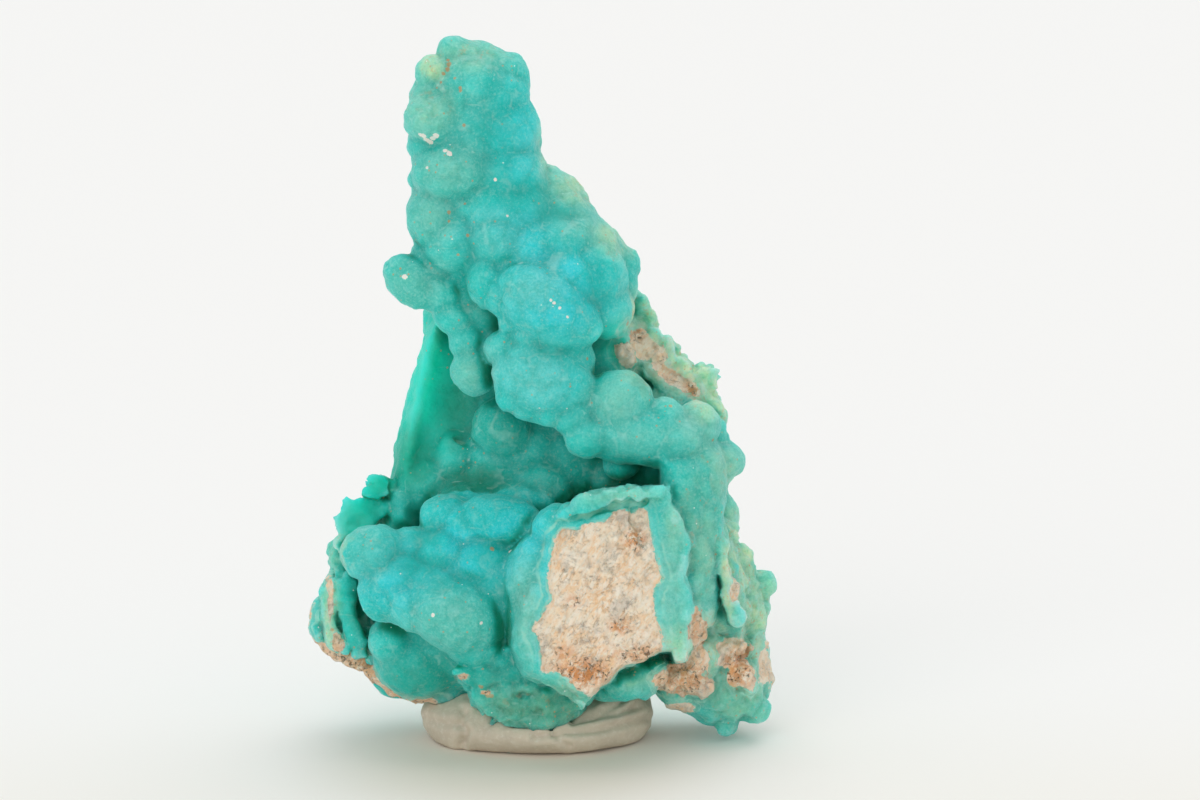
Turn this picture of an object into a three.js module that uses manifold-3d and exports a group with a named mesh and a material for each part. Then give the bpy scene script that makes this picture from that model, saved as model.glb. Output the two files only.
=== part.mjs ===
// Hemimorphite specimen on a lump of mineral putty, in millimetres, +Z up.
//
// The specimen is one grown piece: a botryoidal crust, which is a skin of overlapping
// round lobes, on a core of host rock. It leans up from a broad foot to a narrow spire,
// with a recess between its shelf and its brow, and a broken face in front where the rock
// inside shows. It rests on a flat-bottomed lump of putty, which is the origin of the part:
// the middle of the putty's underside is at (0, 0, 0), and the specimen's front is at -Y.
//
// The lobes are laid out on a front elevation of the specimen: how far across, how far up
// and how deep each one sits. The elevation is the view from VIEW_DISTANCE, looking down by
// VIEW_TILT at the point (VIEW_ACROSS, VIEW_UP) of the plane through the origin, so a lobe
// that is nearer than that plane is a little smaller than it is drawn.

import * as THREE from 'three';
import { mergeVertices } from 'three/addons/utils/BufferGeometryUtils.js';
import Module from 'manifold-3d';

// ---- driving dimensions ----

const VIEW_TILT = THREE.MathUtils.degToRad(10);
const VIEW_DISTANCE = 444.4;
const VIEW_ACROSS = 6.67;
const VIEW_UP = 37.56;

const FLOOR = 0;                 // underside of the putty
const PUTTY_GAP = 0.3;           // the putty's print of the specimen, all round
const LOBE_SPLITS = 1;           // how often the faces of a lobe's icosahedron are split
const ROUNDING = 1.03;           // a faceted ball is this much bigger, to hold its lobe's volume
const ROD_RINGS = 3;             // rings of facets of a rod's round end
const ROD_SIDES = 12;
const UNDER_SIZE = [60, 60, 20]; // what is cut away below the floor

const FACE_DEPTH = -15;          // the broken face of the block, at the middle of its outline
const FACE_MIDDLE = [7, 16];     // across, up
const BLOCK_THICKNESS = 11;
const BLOCK_REACH = 8;           // the least way from the middle of the face to its outline
const POCKET_DEPTH = 0.6;        // the rock lies this far behind the crust around it

const TROUGH_RADIUS = 5.4;       // the hollow side of the wing
const TROUGH_TOP = [-7.6, 43.5, -3.6];
const TROUGH_BOTTOM = [-10.2, 27.5, -4.6];

const BREAK_AT = [2, 9.6, 12];   // a point of the break across the lower back (x, y, z)
const BREAK_LEAN = THREE.MathUtils.degToRad(-20);
const BREAK_SIZE = [44, 12, 26]; // what is missing behind the break

// ---- the lobes: across, up, depth, half width, half height, half depth, lean (degrees) ----

const CORE = [
  [-1.5, 13.0, 1.5, 19.0, 9.0, 10.5, 0],
  [3.0, 27.0, 5.5, 15.0, 13.0, 7.0, 8],
  [3.0, 41.0, 4.0, 9.5, 9.5, 6.0, 25],
  [-2.5, 53.0, 1.5, 8.5, 8.0, 6.0, 20],
  [-7.3, 66.5, 0.8, 5.4, 9.5, 4.8, 6],
  [12.0, 17.0, 3.5, 10.5, 12.0, 9.0, 0],
  [-7.0, 37.0, 5.6, 6.5, 11.0, 3.8, -8],
];

const WING = [
  [-11.1, 38.0, 4.2, 4.0, 10.5, 4.4, -12],
  [-13.2, 29.6, 3.8, 3.4, 5.0, 5.2, -6],
];

const SPIRE = [
  [-9.0, 75.6, 0.0, 2.4, 2.2, 2.4, 0],
  [-4.6, 74.6, 0.6, 3.4, 2.6, 2.8, 0],
  [-11.8, 70.4, -1.6, 2.9, 3.6, 3.2, 0],
  [-12.0, 66.4, -1.2, 2.7, 2.6, 2.8, 0],
  [-9.3, 62.7, -3.6, 4.2, 3.5, 3.4, 5],
  [-10.6, 56.2, -1.8, 4.1, 4.4, 3.4, 0],
  [-4.8, 70.2, -0.6, 3.8, 4.6, 4.0, 0],
  [-3.2, 63.4, -1.0, 4.4, 5.2, 4.2, 10],
  [2.4, 59.2, 0.8, 5.6, 3.3, 4.0, -38],
  [8.2, 53.0, 0.2, 3.0, 2.5, 3.0, -20],
];

const BULGE = [
  [0.2, 48.7, -8.2, 5.3, 4.2, 4.2, -30],
  [3.9, 45.6, -7.6, 2.8, 2.5, 2.9, 0],
  [-4.6, 54.6, -5.0, 3.2, 3.2, 3.0, 0],
  [0.8, 54.8, -5.4, 4.2, 3.2, 3.2, 0],
  [5.9, 51.4, -3.8, 3.6, 3.9, 3.6, 15],
  [7.2, 47.6, -3.2, 3.0, 3.2, 3.4, 0],
];

const BRANCH = [
  [-15.0, 51.3, -2.6, 2.2, 2.2, 2.2, 0],
  [-12.4, 49.6, -2.6, 3.0, 2.5, 2.6, -20],
  [-8.8, 45.6, -2.4, 2.6, 3.4, 2.4, 35],
  [-7.5, 40.6, -3.8, 2.35, 2.6, 2.3, 25],
];

const BROW = [
  [-3.5, 42.8, -5.0, 2.75, 2.7, 2.8, 0],
  [0.4, 40.2, -6.8, 5.3, 4.6, 4.2, -12],
  [3.4, 35.8, -7.2, 2.3, 2.2, 2.6, 0],
  [8.6, 35.6, -8.2, 4.8, 4.8, 4.4, -10],
  [14.6, 34.8, -6.0, 4.6, 2.9, 3.4, 0],
  [17.6, 30.0, -2.4, 2.9, 3.2, 3.2, 0],
  [21.0, 30.6, -0.6, 1.8, 1.8, 2.2, 0],
];

const PLATE = [
  [11.2, 46.6, 3.6, 2.2, 3.2, 2.4, -30],
  [14.8, 42.2, 3.4, 4.4, 2.2, 2.6, -42],
  [17.8, 38.0, 2.8, 2.6, 4.2, 3.0, -35],
  [14.4, 35.6, 2.6, 4.8, 4.6, 4.6, 0],
];

const RECESS = [
  [-8.8, 30.4, 0.4, 2.1, 2.6, 2.4, 0],
  [-4.4, 32.4, 0.0, 3.0, 5.0, 3.0, 0],
  [2.6, 29.6, 0.2, 4.8, 4.4, 3.4, 0],
];

const SHELF = [
  [-17.2, 19.9, -6.8, 5.0, 3.4, 3.6, 12],
  [-10.8, 24.0, -5.4, 2.9, 2.6, 3.2, 0],
  [-5.2, 24.0, -7.6, 4.8, 2.9, 3.2, 0],
  [-8.8, 20.0, -8.6, 4.2, 2.8, 3.4, 8],
  [-15.6, 15.6, -8.4, 4.2, 4.4, 3.8, -20],
  [-9.8, 12.8, -10.6, 5.4, 4.4, 4.2, -10],
];

const HEM = [
  [-14.6, 9.0, -3.4, 5.2, 4.4, 4.2, -14],
  [-10.0, 5.4, -1.6, 2.5, 2.4, 3.0, 0],
];

const FLAKES = [
  [-18.6, 26.2, 0.6, 3.0, 2.4, 2.6, 30],
  [-21.6, 22.4, 0.2, 2.2, 3.0, 2.4, 0],
  [-22.0, 14.6, 0.2, 3.6, 4.6, 3.4, 0],
];

const FOOT = [
  [0.0, 3.9, -8.0, 4.9, 3.1, 3.4, -4],
  [-5.2, 5.4, -7.8, 3.6, 3.2, 3.0, -25],
  [4.4, 5.2, -9.0, 1.9, 1.9, 2.0, 20],
];

const FLANK = [
  [17.6, 22.4, -3.4, 2.4, 4.6, 3.4, 6],
  [17.6, 15.0, -4.4, 2.4, 5.0, 3.4, 0],
  [21.6, 21.2, 1.8, 2.2, 3.4, 2.4, 10],
  [23.6, 14.6, 2.6, 2.4, 4.0, 2.6, 0],
  [23.4, 7.6, 1.0, 2.2, 3.6, 2.6, 0],
  [20.4, 4.4, -2.8, 4.6, 3.5, 3.2, 8],
  [16.2, 6.4, -4.4, 3.6, 2.8, 3.0, -10],
  [20.6, 9.2, -3.4, 3.4, 3.0, 2.8, 0],
  [10.0, 6.6, -7.0, 4.6, 2.4, 4.0, 15],
];

const BACK = [
  [-7.0, 71.0, 3.0, 4.4, 4.6, 2.8, 0],
  [-7.0, 64.6, 3.8, 5.4, 4.4, 3.2, 10],
  [-5.4, 58.0, 5.0, 6.6, 4.6, 3.4, 0],
  [2.8, 56.4, 5.0, 4.4, 4.0, 3.2, -30],
  [-6.6, 50.2, 6.4, 5.8, 5.0, 3.4, 0],
  [3.4, 48.6, 7.2, 5.8, 5.2, 3.4, 0],
  [-8.8, 41.4, 7.8, 5.2, 5.4, 3.4, 0],
  [0.6, 40.4, 9.6, 6.0, 5.0, 3.4, 0],
  [9.8, 38.6, 8.4, 5.4, 5.0, 3.4, 0],
  [-9.0, 31.6, 9.0, 5.8, 5.2, 3.6, 0],
  [1.6, 31.2, 11.0, 6.4, 4.8, 3.4, 0],
  [12.6, 30.4, 9.4, 6.4, 5.0, 4.2, 0],
  [19.0, 22.0, 6.0, 4.4, 6.0, 4.4, 0],
  [19.6, 11.6, 5.6, 4.4, 5.6, 4.4, 0],
  [-16.0, 22.6, 6.0, 5.0, 4.8, 4.2, 0],
  [-17.6, 13.6, 5.2, 5.2, 5.8, 4.8, 0],
];

// The lobes that the putty is pressed against.
const ABOVE_PUTTY = [CORE, HEM, FOOT, FLANK, SHELF];

// The putty: a flattened lump of three rounds, on the same elevation.
const PUTTY = [
  [-3.5, 2.6, -1.0, 9.6, 4.4, 9.6, 0],
  [4.5, 3.0, -1.5, 8.2, 4.4, 9.0, 0],
  [0.5, 1.6, -2.0, 11.5, 3.2, 8.8, 0],
];

// ---- outlines on the front elevation: across, up ----

const BLOCK_OUTLINE = [
  [14.3, 27.9], [15.5, 24.3], [16.9, 21.4], [16.5, 19.8], [16.9, 15.0], [16.9, 11.0],
  [16.1, 8.3], [13.9, 8.6], [10.5, 7.6], [7.0, 5.6], [4.5, 4.6], [0.4, 6.3], [-1.8, 7.3],
  [-3.2, 9.9], [-3.4, 11.8], [-1.8, 17.0], [-0.8, 19.8], [1.0, 22.8], [2.2, 25.0],
  [4.4, 26.9], [9.3, 27.9],
];

const ROCK_OUTLINE = [
  [1.5, 22.3], [5.0, 23.9], [8.5, 25.3], [10.5, 23.5], [12.2, 21.0], [13.2, 18.5],
  [12.5, 16.0], [13.5, 11.0], [12.5, 9.3], [8.0, 7.9], [5.5, 5.6], [3.0, 7.2], [0.3, 7.4],
  [-1.0, 12.3], [1.2, 16.0], [0.9, 19.0],
];

// ---- tools ----

const wasm = await Module();
wasm.setup();

// The place in space of a point of the elevation that lies at the given depth (its Y).
function place(across, up, depth) {
  const cos = Math.cos(VIEW_TILT);
  const sin = Math.sin(VIEW_TILT);
  const right = across - VIEW_ACROSS;
  const rise = up - VIEW_UP;
  const height = (rise * (1 + depth * cos / VIEW_DISTANCE) - depth * sin)
    / (cos + rise * sin / VIEW_DISTANCE);
  const away = depth * cos - height * sin;
  const x = VIEW_ACROSS + right * (1 + away / VIEW_DISTANCE);
  return new THREE.Vector3(x, depth, VIEW_UP / cos + height);
}

// A closed three.js geometry as a solid that can be joined and cut.
function solid(geometry) {
  geometry.deleteAttribute('normal');
  geometry.deleteAttribute('uv');
  const merged = mergeVertices(geometry);
  return new wasm.Manifold(new wasm.Mesh({
    numProp: 3,
    vertProperties: new Float32Array(merged.attributes.position.array),
    triVerts: new Uint32Array(merged.index.array),
  }));
}

// The way back, for a mesh of the model.
function geometryOf(manifold) {
  const mesh = manifold.getMesh();
  const geometry = new THREE.BufferGeometry();
  geometry.setAttribute('position', new THREE.BufferAttribute(mesh.vertProperties, 3));
  geometry.setIndex(new THREE.BufferAttribute(mesh.triVerts, 1));
  geometry.computeVertexNormals();
  return geometry;
}

// One lobe: a faceted ball, stretched to its half sizes, grown by a margin, leaned and placed.
function lobe([across, up, depth, halfWidth, halfHeight, halfDepth, lean], margin = 0) {
  const geometry = new THREE.IcosahedronGeometry(ROUNDING, LOBE_SPLITS);
  geometry.scale(halfWidth + margin, halfDepth + margin, halfHeight + margin);
  geometry.rotateY(-THREE.MathUtils.degToRad(lean));
  geometry.translate(...place(across, up, depth));
  return solid(geometry);
}

function join(solids) {
  return solids.reduce((whole, piece) => whole.add(piece));
}

function lobes(rows, margin = 0) {
  return join(rows.map((row) => lobe(row, margin)));
}

// A prism on an outline of the elevation, square to the line of sight. Its front is at the
// broken face's plane, moved back by the given distance, and it reaches from there by thickness
// away from the viewer, or towards the viewer if thickness is negative. A margin grows the
// outline.
function prism(outline, back, thickness, margin = 0) {
  const [across, up] = FACE_MIDDLE;
  const middle = place(across, up, FACE_DEPTH);
  const away = middle.y * Math.cos(VIEW_TILT)
    - (middle.z - VIEW_UP / Math.cos(VIEW_TILT)) * Math.sin(VIEW_TILT);
  const size = (1 + away / VIEW_DISTANCE) * (1 + margin / BLOCK_REACH);
  const points = outline.map(([a, u]) => new THREE.Vector2((a - across) * size, (u - up) * size));
  const geometry = new THREE.ExtrudeGeometry(new THREE.Shape(points), {
    depth: Math.abs(thickness),
    bevelEnabled: false,
  });
  geometry.translate(0, 0, thickness > 0 ? -back - thickness : -back);
  geometry.rotateX(Math.PI / 2 - VIEW_TILT);
  geometry.translate(middle.x, middle.y, middle.z);
  return solid(geometry);
}

// A round-ended rod between two places of the elevation.
function rod(from, to, radius) {
  const start = place(...from);
  const end = place(...to);
  const length = start.distanceTo(end);
  const geometry = new THREE.CapsuleGeometry(radius, length, ROD_RINGS, ROD_SIDES);
  const turn = new THREE.Quaternion().setFromUnitVectors(
    new THREE.Vector3(0, 1, 0),
    end.clone().sub(start).normalize(),
  );
  geometry.applyQuaternion(turn);
  geometry.translate(...start.add(end).multiplyScalar(0.5));
  return solid(geometry);
}

// A box, first shifted from the origin, then turned about X, then set at its place.
function box(size, shift, turnX, at) {
  const geometry = new THREE.BoxGeometry(...size);
  geometry.translate(...shift);
  geometry.rotateX(turnX);
  geometry.translate(...at);
  return solid(geometry);
}

// ---- the specimen ----

function specimenSolid() {
  const trough = rod(TROUGH_TOP, TROUGH_BOTTOM, TROUGH_RADIUS);
  const behindBreak = box(BREAK_SIZE, [0, BREAK_SIZE[1] / 2, 0], BREAK_LEAN, BREAK_AT);
  const inner = lobes([...CORE, ...WING]).subtract(trough);
  const outer = lobes([
    ...SPIRE, ...BULGE, ...BRANCH, ...BROW, ...PLATE, ...RECESS, ...SHELF,
    ...HEM, ...FLAKES, ...FOOT, ...FLANK, ...BACK,
  ]);
  const block = prism(BLOCK_OUTLINE, 0, BLOCK_THICKNESS);
  const pocket = prism(ROCK_OUTLINE, POCKET_DEPTH, -BLOCK_THICKNESS);
  return inner.add(outer).add(block).subtract(pocket).subtract(behindBreak);
}

// ---- the putty ----

function puttySolid() {
  const print = lobes(ABOVE_PUTTY.flat(), PUTTY_GAP)
    .add(prism(BLOCK_OUTLINE, -PUTTY_GAP, BLOCK_THICKNESS + 2 * PUTTY_GAP, PUTTY_GAP));
  const under = box(UNDER_SIZE, [0, 0, -UNDER_SIZE[2] / 2], 0, [0, 0, FLOOR]);
  return lobes(PUTTY).subtract(under).subtract(print);
}

const crust = new THREE.MeshStandardMaterial({ color: 0x4fc4b8, roughness: 0.55, metalness: 0 });
const putty = new THREE.MeshStandardMaterial({ color: 0xdcd8cf, roughness: 0.85, metalness: 0 });

function named(name, manifold, material) {
  const mesh = new THREE.Mesh(geometryOf(manifold), material);
  mesh.name = name;
  return mesh;
}

const group = new THREE.Group();
group.add(named('specimen', specimenSolid(), crust));
group.add(named('putty_pad', puttySolid(), putty));

export default group;
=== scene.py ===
"""Hemimorphite specimen on a lump of putty: its surfaces, finishes, light and view."""
import math

import bpy
import numpy as np
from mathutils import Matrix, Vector


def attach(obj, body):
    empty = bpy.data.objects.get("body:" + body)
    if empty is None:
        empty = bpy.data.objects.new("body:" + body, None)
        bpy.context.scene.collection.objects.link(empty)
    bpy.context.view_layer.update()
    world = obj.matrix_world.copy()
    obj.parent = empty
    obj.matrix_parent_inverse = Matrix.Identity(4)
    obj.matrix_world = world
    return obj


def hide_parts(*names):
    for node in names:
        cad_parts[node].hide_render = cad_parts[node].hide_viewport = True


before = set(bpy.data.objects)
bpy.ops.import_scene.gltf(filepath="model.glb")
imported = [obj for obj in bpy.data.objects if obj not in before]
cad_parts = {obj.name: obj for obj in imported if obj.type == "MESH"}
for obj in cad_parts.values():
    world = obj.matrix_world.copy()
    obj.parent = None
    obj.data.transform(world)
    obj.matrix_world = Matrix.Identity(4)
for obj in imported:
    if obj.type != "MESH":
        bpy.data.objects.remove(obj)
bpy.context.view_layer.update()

# ---- driving dimensions, in mm ----

MM = 0.001

# The lobes are laid out on a front elevation: the view from VIEW_DISTANCE, looking down by
# VIEW_TILT at the point (VIEW_ACROSS, VIEW_UP) of the plane through the origin.
VIEW_TILT = math.radians(10)
VIEW_DISTANCE = 444.4
VIEW_ACROSS = 6.67
VIEW_UP = 37.56
LENS = 120
SENSOR = 36

STEP = 0.34              # spacing of the grid that the specimen's surface is drawn from
MOST_TRIANGLES = 192000
GRID_LOW = (-29.0, -20.0, -1.0)
GRID_HIGH = (29.5, 18.5, 81.5)
PUTTY_STEP = 0.28
PUTTY_GRID = ((-15.5, -13.5, -1.2), (15.5, 12.0, 9.5))
FAR = 6.0                # distances are kept up to this one
MARGIN = 2.6             # how far round a shape its distance is worked out

WAVE_SIZE = 3.2          # size of the unevenness of the lobes
GRIT_SIZE = 0.9          # size of the unevenness of broken edges
WOBBLE = 0.12            # how uneven the lobes are
JAG = 0.35               # how ragged plates and broken edges are
ROUGH = 0.34             # how ragged the lower right side and the foot are
INSET = 0.16             # every lobe is this much smaller, as blending swells it again
GROUP_FILL = (3.0, 0.14)        # how wide a blur fills valleys inside groups, less this inset
WHOLE_FILL = (2.2, 0.16)        # and the same between groups
CREASE_DEPTH = 0.06             # the crease left along the filled valleys
CREASE_WIDTH = 0.35
LOBE_BLEND = 0.8         # how softly the lobes of a group run together
GROUP_BLEND = 1.3        # and how softly groups do
CORE_BLEND = 3.0         # the same for the core
WING_BLEND = 2.0         # for the wing
BACK_BLEND = 2.0         # for the lobes of the back
COLUMN_BLEND = 1.8       # for the column below the right end
PLATE_BLEND = 0.6        # for the lobes of plates and flakes
SLAB_BLEND = 0.3         # for flat plates
DOME_BLEND = 0.4         # and for the crisp domes
DOME_CRISP = 3.0         # how much sharper the seams round the crisp domes are
SLAB_ROOM = 2.0          # room left before and behind a flat plate
FACE_RAG = 0.6           # a flat plate's faces are this much as ragged as its edge
SEAM_FAR = 3.0           # distances to seams are kept up to this one
SEAM_REACH = 0.5         # how far away the change of the seam's value is looked for
SEAM_LEAST_SLOPE = 0.12  # and the least change that counts
FILL_SHARE = 0.6         # the blurred shape counts up to this share of the blur's reach
MEND_ROUNDS = 20         # touching places are mended at most this many times
MEND_DEPTH = 0.1         # a mended point lies this deep, in grid steps
SHAKE = 0.45             # points of a shaken lattice move by up to this share of its spacing
SEED_NEAR = 0.6          # seeds of bubbles start this near the surface, in their spacings
SEED_OFF = 0.1           # and end this near, in mm
SEED_CELL = 0.8          # one is kept in each cell of this size, in spacings
BUBBLE_ROOM = 1.2        # room left round a bubble
HOLLOW_REACHES = (1.0, 2.5, 5.0)        # how far out the space over the surface is measured
THIN_REACHES = (0.8, 1.6)               # and how far in the thickness under it is

FACE_DEPTH = -15.0       # the broken face of the block, at the middle of its outline
FACE_MIDDLE = (7.0, 16.0)
BLOCK_THICKNESS = 11.0
BLOCK_ROOM = 3.0         # room left before and behind the block
BLOCK_BLEND = 0.4        # how softly the block joins the crust
BLOCK_ROUGH = (0.16, 0.2)       # how uneven it is: share of the grit and of the wave
EDGE_BLEND = 0.25        # how softly the plates along its edge join it
BLOCK_SPAN = (-2.0, 12.0)       # from here to there across, the block's edges go from
BLOCK_ROUNDING = (2.4, 0.6)     # this rounding to this one
POCKET_DEPTH = 0.45             # the rock lies this far behind the crust around it
POCKET_ROUGH = (0.30, 0.22)     # how uneven its floor is: share of the wave and of the grit
POCKET_RAG = 0.22        # how ragged its outline is
POCKET_NEAR = 2.2        # rock shows this near its floor
CRUST = 1.9              # thickness of the crust over the rock
CRUST_UNEVEN = (0.8, 5.0)       # how much that thickness changes, and over what size
STONE_BLEND = 0.6        # how softly lumps of rock run together, and into the crust
STONE_ROUGH = (0.45, 0.6)       # how uneven they are: share of the wave and of the grit
RIM_ROUGH = (0.3, 0.25)         # and how uneven the rock rims are
ROCK_RAG = (0.35, 1.6)          # how ragged the edges of the rock are, and over what size
TORN = (0.7, 1.5)        # how torn the edges of lumps and flush patches are, and their size
TORN_LUMP = 0.4          # the share of it that lumps take
FLUSH_RISE = 2.4         # how fast rock shows towards the middle of a flush patch
FLUSH_LEAST = 0.25       # where the patch is fainter than this there is none
NO_ROCK = -4.0           # the measure of a place that never shows rock
CUT_BLEND = 0.2          # how softly the pocket and the plate's band are cut

BREAK_AT = (2.0, 9.6, 12.0)     # a point of the break across the lower back (x, y, z)
BREAK_LEAN = math.radians(20)
BREAK_HALF = (22.0, 13.0)       # half its width and half its height
BREAK_RAG = 1.2          # how ragged its outline is
BREAK_ROUGH = (0.35, 0.25)      # how uneven it is: share of the wave and of the grit
BREAK_BLEND = 0.3        # how softly it is cut
BREAK_NEAR = -1.2        # rock shows from this far before it
BAND_DEPTHS = (-6.0, 5.5)       # the worn band of the plate lies between these depths
BAND_CUT = 0.3           # how much of the grown skin is worn off there
BAND_RAG = 0.25          # how ragged its outline is
BAND_ROUGH = 0.2         # and how uneven its floor is
GROOVE_ROUGH = 0.15      # how uneven grooves are
WING_MIDDLE = (-12.0, 38.0, 0.5)
WING_REACH = (4.5, 6.0, 9.0)    # no bubbles grow this near the wing's middle

# Fine relief: how far each grain stands out, and its size.
SKIN_GRAINS = ((0.100, 1.3), (0.100, 0.8))
STONE_GRAINS = ((0.28, 2.3), (0.22, 0.9))
STONE_CRACKS = (1.2, 0.25, 2.1)         # depth for each mm of width, half width, and size
CAP_SHARE = (0.55, 0.7, 6.0)            # middle, swing and size of how strong the caps are
CAP_LIMITS = (0.15, 1.0)                # and its least and most
CAP_LEVEL = 0.6                         # caps swell over this height and sink below it
RAG_SIZE = 1.3

# Seeds of the uneven numbers: one for each grain, so that no two are alike.
SEED = {
    "bubbles": 7, "wave": 3, "grit": 5, "rock edge": 11, "crust": 17, "torn": 19,
    "skin": (23, 29), "stone": (31, 37), "cracks": 71, "cap share": 61, "rag": 67,
    "putty wave": 41, "putty grit": 43, "putty skin": 47,
}

# ---- lobes: across, up, depth, half width, half height, half depth, lean in degrees ----

CORE = [
    [-1.5, 13.0, 1.5, 19.0, 9.0, 10.5, 0],
    [3.0, 27.0, 5.5, 15.0, 13.0, 7.0, 8],
    [3.0, 41.0, 4.0, 9.5, 9.5, 6.0, 25],
    [-2.5, 53.0, 1.2, 8.8, 8.4, 6.2, 20],
    [-7.6, 67.2, 0.4, 6.4, 9.8, 5.0, 4],
    [12.0, 17.0, 3.5, 10.5, 12.0, 9.0, 0],
    [-7.0, 37.0, 5.6, 6.5, 11.0, 3.8, -8],
    [5.0, 33.0, 5.0, 10.0, 9.0, 5.0, 0],
]

WING = [
    [-10.1, 42.0, 2.8, 3.5, 7.2, 5.0, -12],
    [-11.5, 35.2, 3.0, 3.9, 7.6, 5.4, -12],
    [-12.7, 29.8, 3.0, 3.6, 5.2, 5.4, -6],
    [-14.8, 25.6, 2.6, 3.2, 4.0, 4.8, -10],
]

SPIRE = [
    [3.6, 51.2, -4.8, 4.6, 3.6, 3.8, -30],
    [3.4, 54.6, -1.8, 6.6, 4.8, 4.2, -38],
    [-5.9, 73.6, 0.8, 4.9, 3.3, 3.4, -14],
    [-10.7, 58.6, 0.6, 3.8, 6.8, 4.2, 0],
    [-10.5, 67.4, 1.0, 3.9, 5.6, 4.0, 2],
    [-9.5, 75.9, 0.0, 1.9, 2.0, 2.0, 0],
    [-12.0, 74.5, -1.4, 1.25, 1.3, 1.4, 0],
    [-6.7, 75.0, 1.0, 2.7, 2.5, 2.8, 0],
    [-3.4, 74.0, 0.2, 2.25, 2.3, 2.6, 0],
    [-7.4, 72.4, -1.0, 3.8, 3.0, 3.8, 0],
    [-12.0, 71.2, -0.6, 2.5, 2.4, 2.8, 0],
    [-12.0, 68.8, -2.6, 2.9, 2.8, 2.6, 0],
    [-12.2, 66.0, -1.0, 2.5, 2.6, 2.8, 0],
    [-10.0, 63.0, -2.8, 4.2, 3.3, 3.5, 5],
    [-13.6, 62.1, -1.2, 1.25, 1.25, 1.4, 0],
    [-11.8, 58.0, -2.0, 3.0, 3.6, 3.2, 0],
    [-4.8, 71.2, -0.6, 3.7, 3.6, 4.0, 0],
    [-4.1, 67.0, -0.8, 4.3, 5.6, 4.2, 8],
    [-3.6, 62.3, -1.2, 4.6, 5.0, 4.6, 12],
    [-4.0, 58.6, -2.4, 5.6, 4.2, 4.2, 0],
    [1.6, 60.0, 0.6, 4.8, 3.1, 4.0, -38],
    [2.6, 57.6, -0.6, 4.6, 3.6, 4.4, -30],
    [8.6, 52.5, 0.2, 2.6, 2.4, 2.8, 0],
    [6.7, 54.2, 0.2, 3.7, 2.7, 3.6, -35],
    [-9.4, 55.2, -2.8, 3.6, 3.8, 3.2, 0],
    [-12.0, 53.4, -1.0, 2.3, 3.0, 2.6, 0],
    [-4.6, 55.2, -3.8, 3.3, 3.4, 3.4, 0],
    [-5.9, 50.9, -4.6, 2.3, 3.2, 2.8, 0],
    [-0.8, 54.4, -3.8, 3.8, 3.4, 3.6, 0],
    [2.4, 54.4, -3.8, 3.4, 3.6, 3.4, 25],
    [5.9, 51.2, -3.8, 3.9, 4.3, 3.9, 15],
    [7.2, 47.8, -3.2, 3.3, 3.6, 3.8, 0],
    [8.8, 50.4, -1.0, 2.2, 2.9, 2.8, 0],
]

BULGE = [
    [0.8, 47.8, -6.9, 6.2, 4.1, 4.1, -36],
    [5.3, 45.3, -7.7, 1.6, 1.5, 1.9, 0],
    [-3.0, 46.4, -6.8, 1.8, 1.6, 1.9, 0],
    [-1.2, 44.9, -7.4, 1.7, 1.4, 1.9, 0],
    [-3.9, 49.0, -6.0, 2.2, 2.6, 2.6, 0],
]

BRANCH = [
    [-14.0, 50.6, -2.6, 3.6, 2.6, 2.6, -38],
    [-11.4, 49.4, -2.6, 3.0, 2.4, 2.6, -20],
    [-9.6, 46.8, -2.6, 2.8, 2.2, 2.5, -42],
    [-8.2, 44.2, -3.0, 2.2, 2.6, 2.3, 15],
    [-7.5, 40.7, -3.9, 2.35, 2.7, 2.3, 25],
    [-6.4, 47.6, -1.6, 3.0, 3.4, 2.8, 0],
    [-5.2, 43.8, -1.6, 2.4, 3.0, 2.6, 0],
]

SHIELD = [
    [-3.8, 43.2, -5.8, 2.4, 2.3, 2.6, 0],
    [0.3, 39.6, -7.4, 5.8, 4.7, 3.3, -20],
    [1.8, 42.0, -5.6, 4.4, 3.4, 3.6, 0],
    [-3.4, 37.6, -8.0, 1.5, 1.3, 1.6, 0],
    [-1.5, 36.5, -8.3, 1.6, 1.3, 1.6, 0],
    [0.9, 35.8, -8.4, 1.7, 1.2, 1.7, 0],
    [3.1, 35.5, -8.3, 1.7, 1.4, 1.8, 0],
]

BROW = [
    [8.8, 37.3, -6.6, 3.7, 3.5, 3.4, 0],
    [5.2, 33.6, -7.9, 2.7, 2.5, 2.7, 0],
    [13.8, 35.5, -6.4, 2.2, 2.2, 2.6, 0],
    [17.5, 34.8, -4.9, 2.5, 2.5, 2.8, 0],
    [10.8, 33.8, -6.8, 7.6, 3.5, 3.8, -3],
    [15.6, 33.0, -5.4, 3.6, 2.4, 3.2, 5],
    [19.3, 34.0, -1.6, 1.7, 1.9, 2.4, 0],
]

RIGHT_END = [
    [9.0, 30.4, -4.4, 2.0, 1.8, 2.6, 0],
    [17.2, 30.4, -4.4, 3.4, 3.6, 4.4, 0],
    [20.2, 30.9, -2.4, 2.6, 2.1, 3.0, -10],
    [17.0, 27.0, -4.6, 3.4, 4.4, 4.8, 3],
    [20.0, 16.0, -1.6, 3.2, 7.0, 4.2, 6],
]

PLATE = [
    [10.9, 47.9, 4.2, 1.5, 1.2, 1.8, -35],
    [11.3, 45.9, 4.2, 1.8, 1.8, 2.0, -30],
    [13.7, 43.5, 4.0, 1.8, 1.3, 2.0, -35],
    [15.4, 41.0, 3.8, 1.9, 1.4, 2.0, -45],
    [18.5, 40.1, 3.0, 1.2, 1.2, 1.5, 0],
    [17.4, 38.2, 3.0, 2.0, 1.9, 2.2, -45],
    [19.1, 36.2, 2.2, 1.3, 1.6, 1.8, 0],
    [13.3, 41.0, 3.4, 3.4, 1.7, 2.2, -42],
    [14.4, 35.6, 3.0, 4.8, 4.4, 4.4, 0],
]

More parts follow.
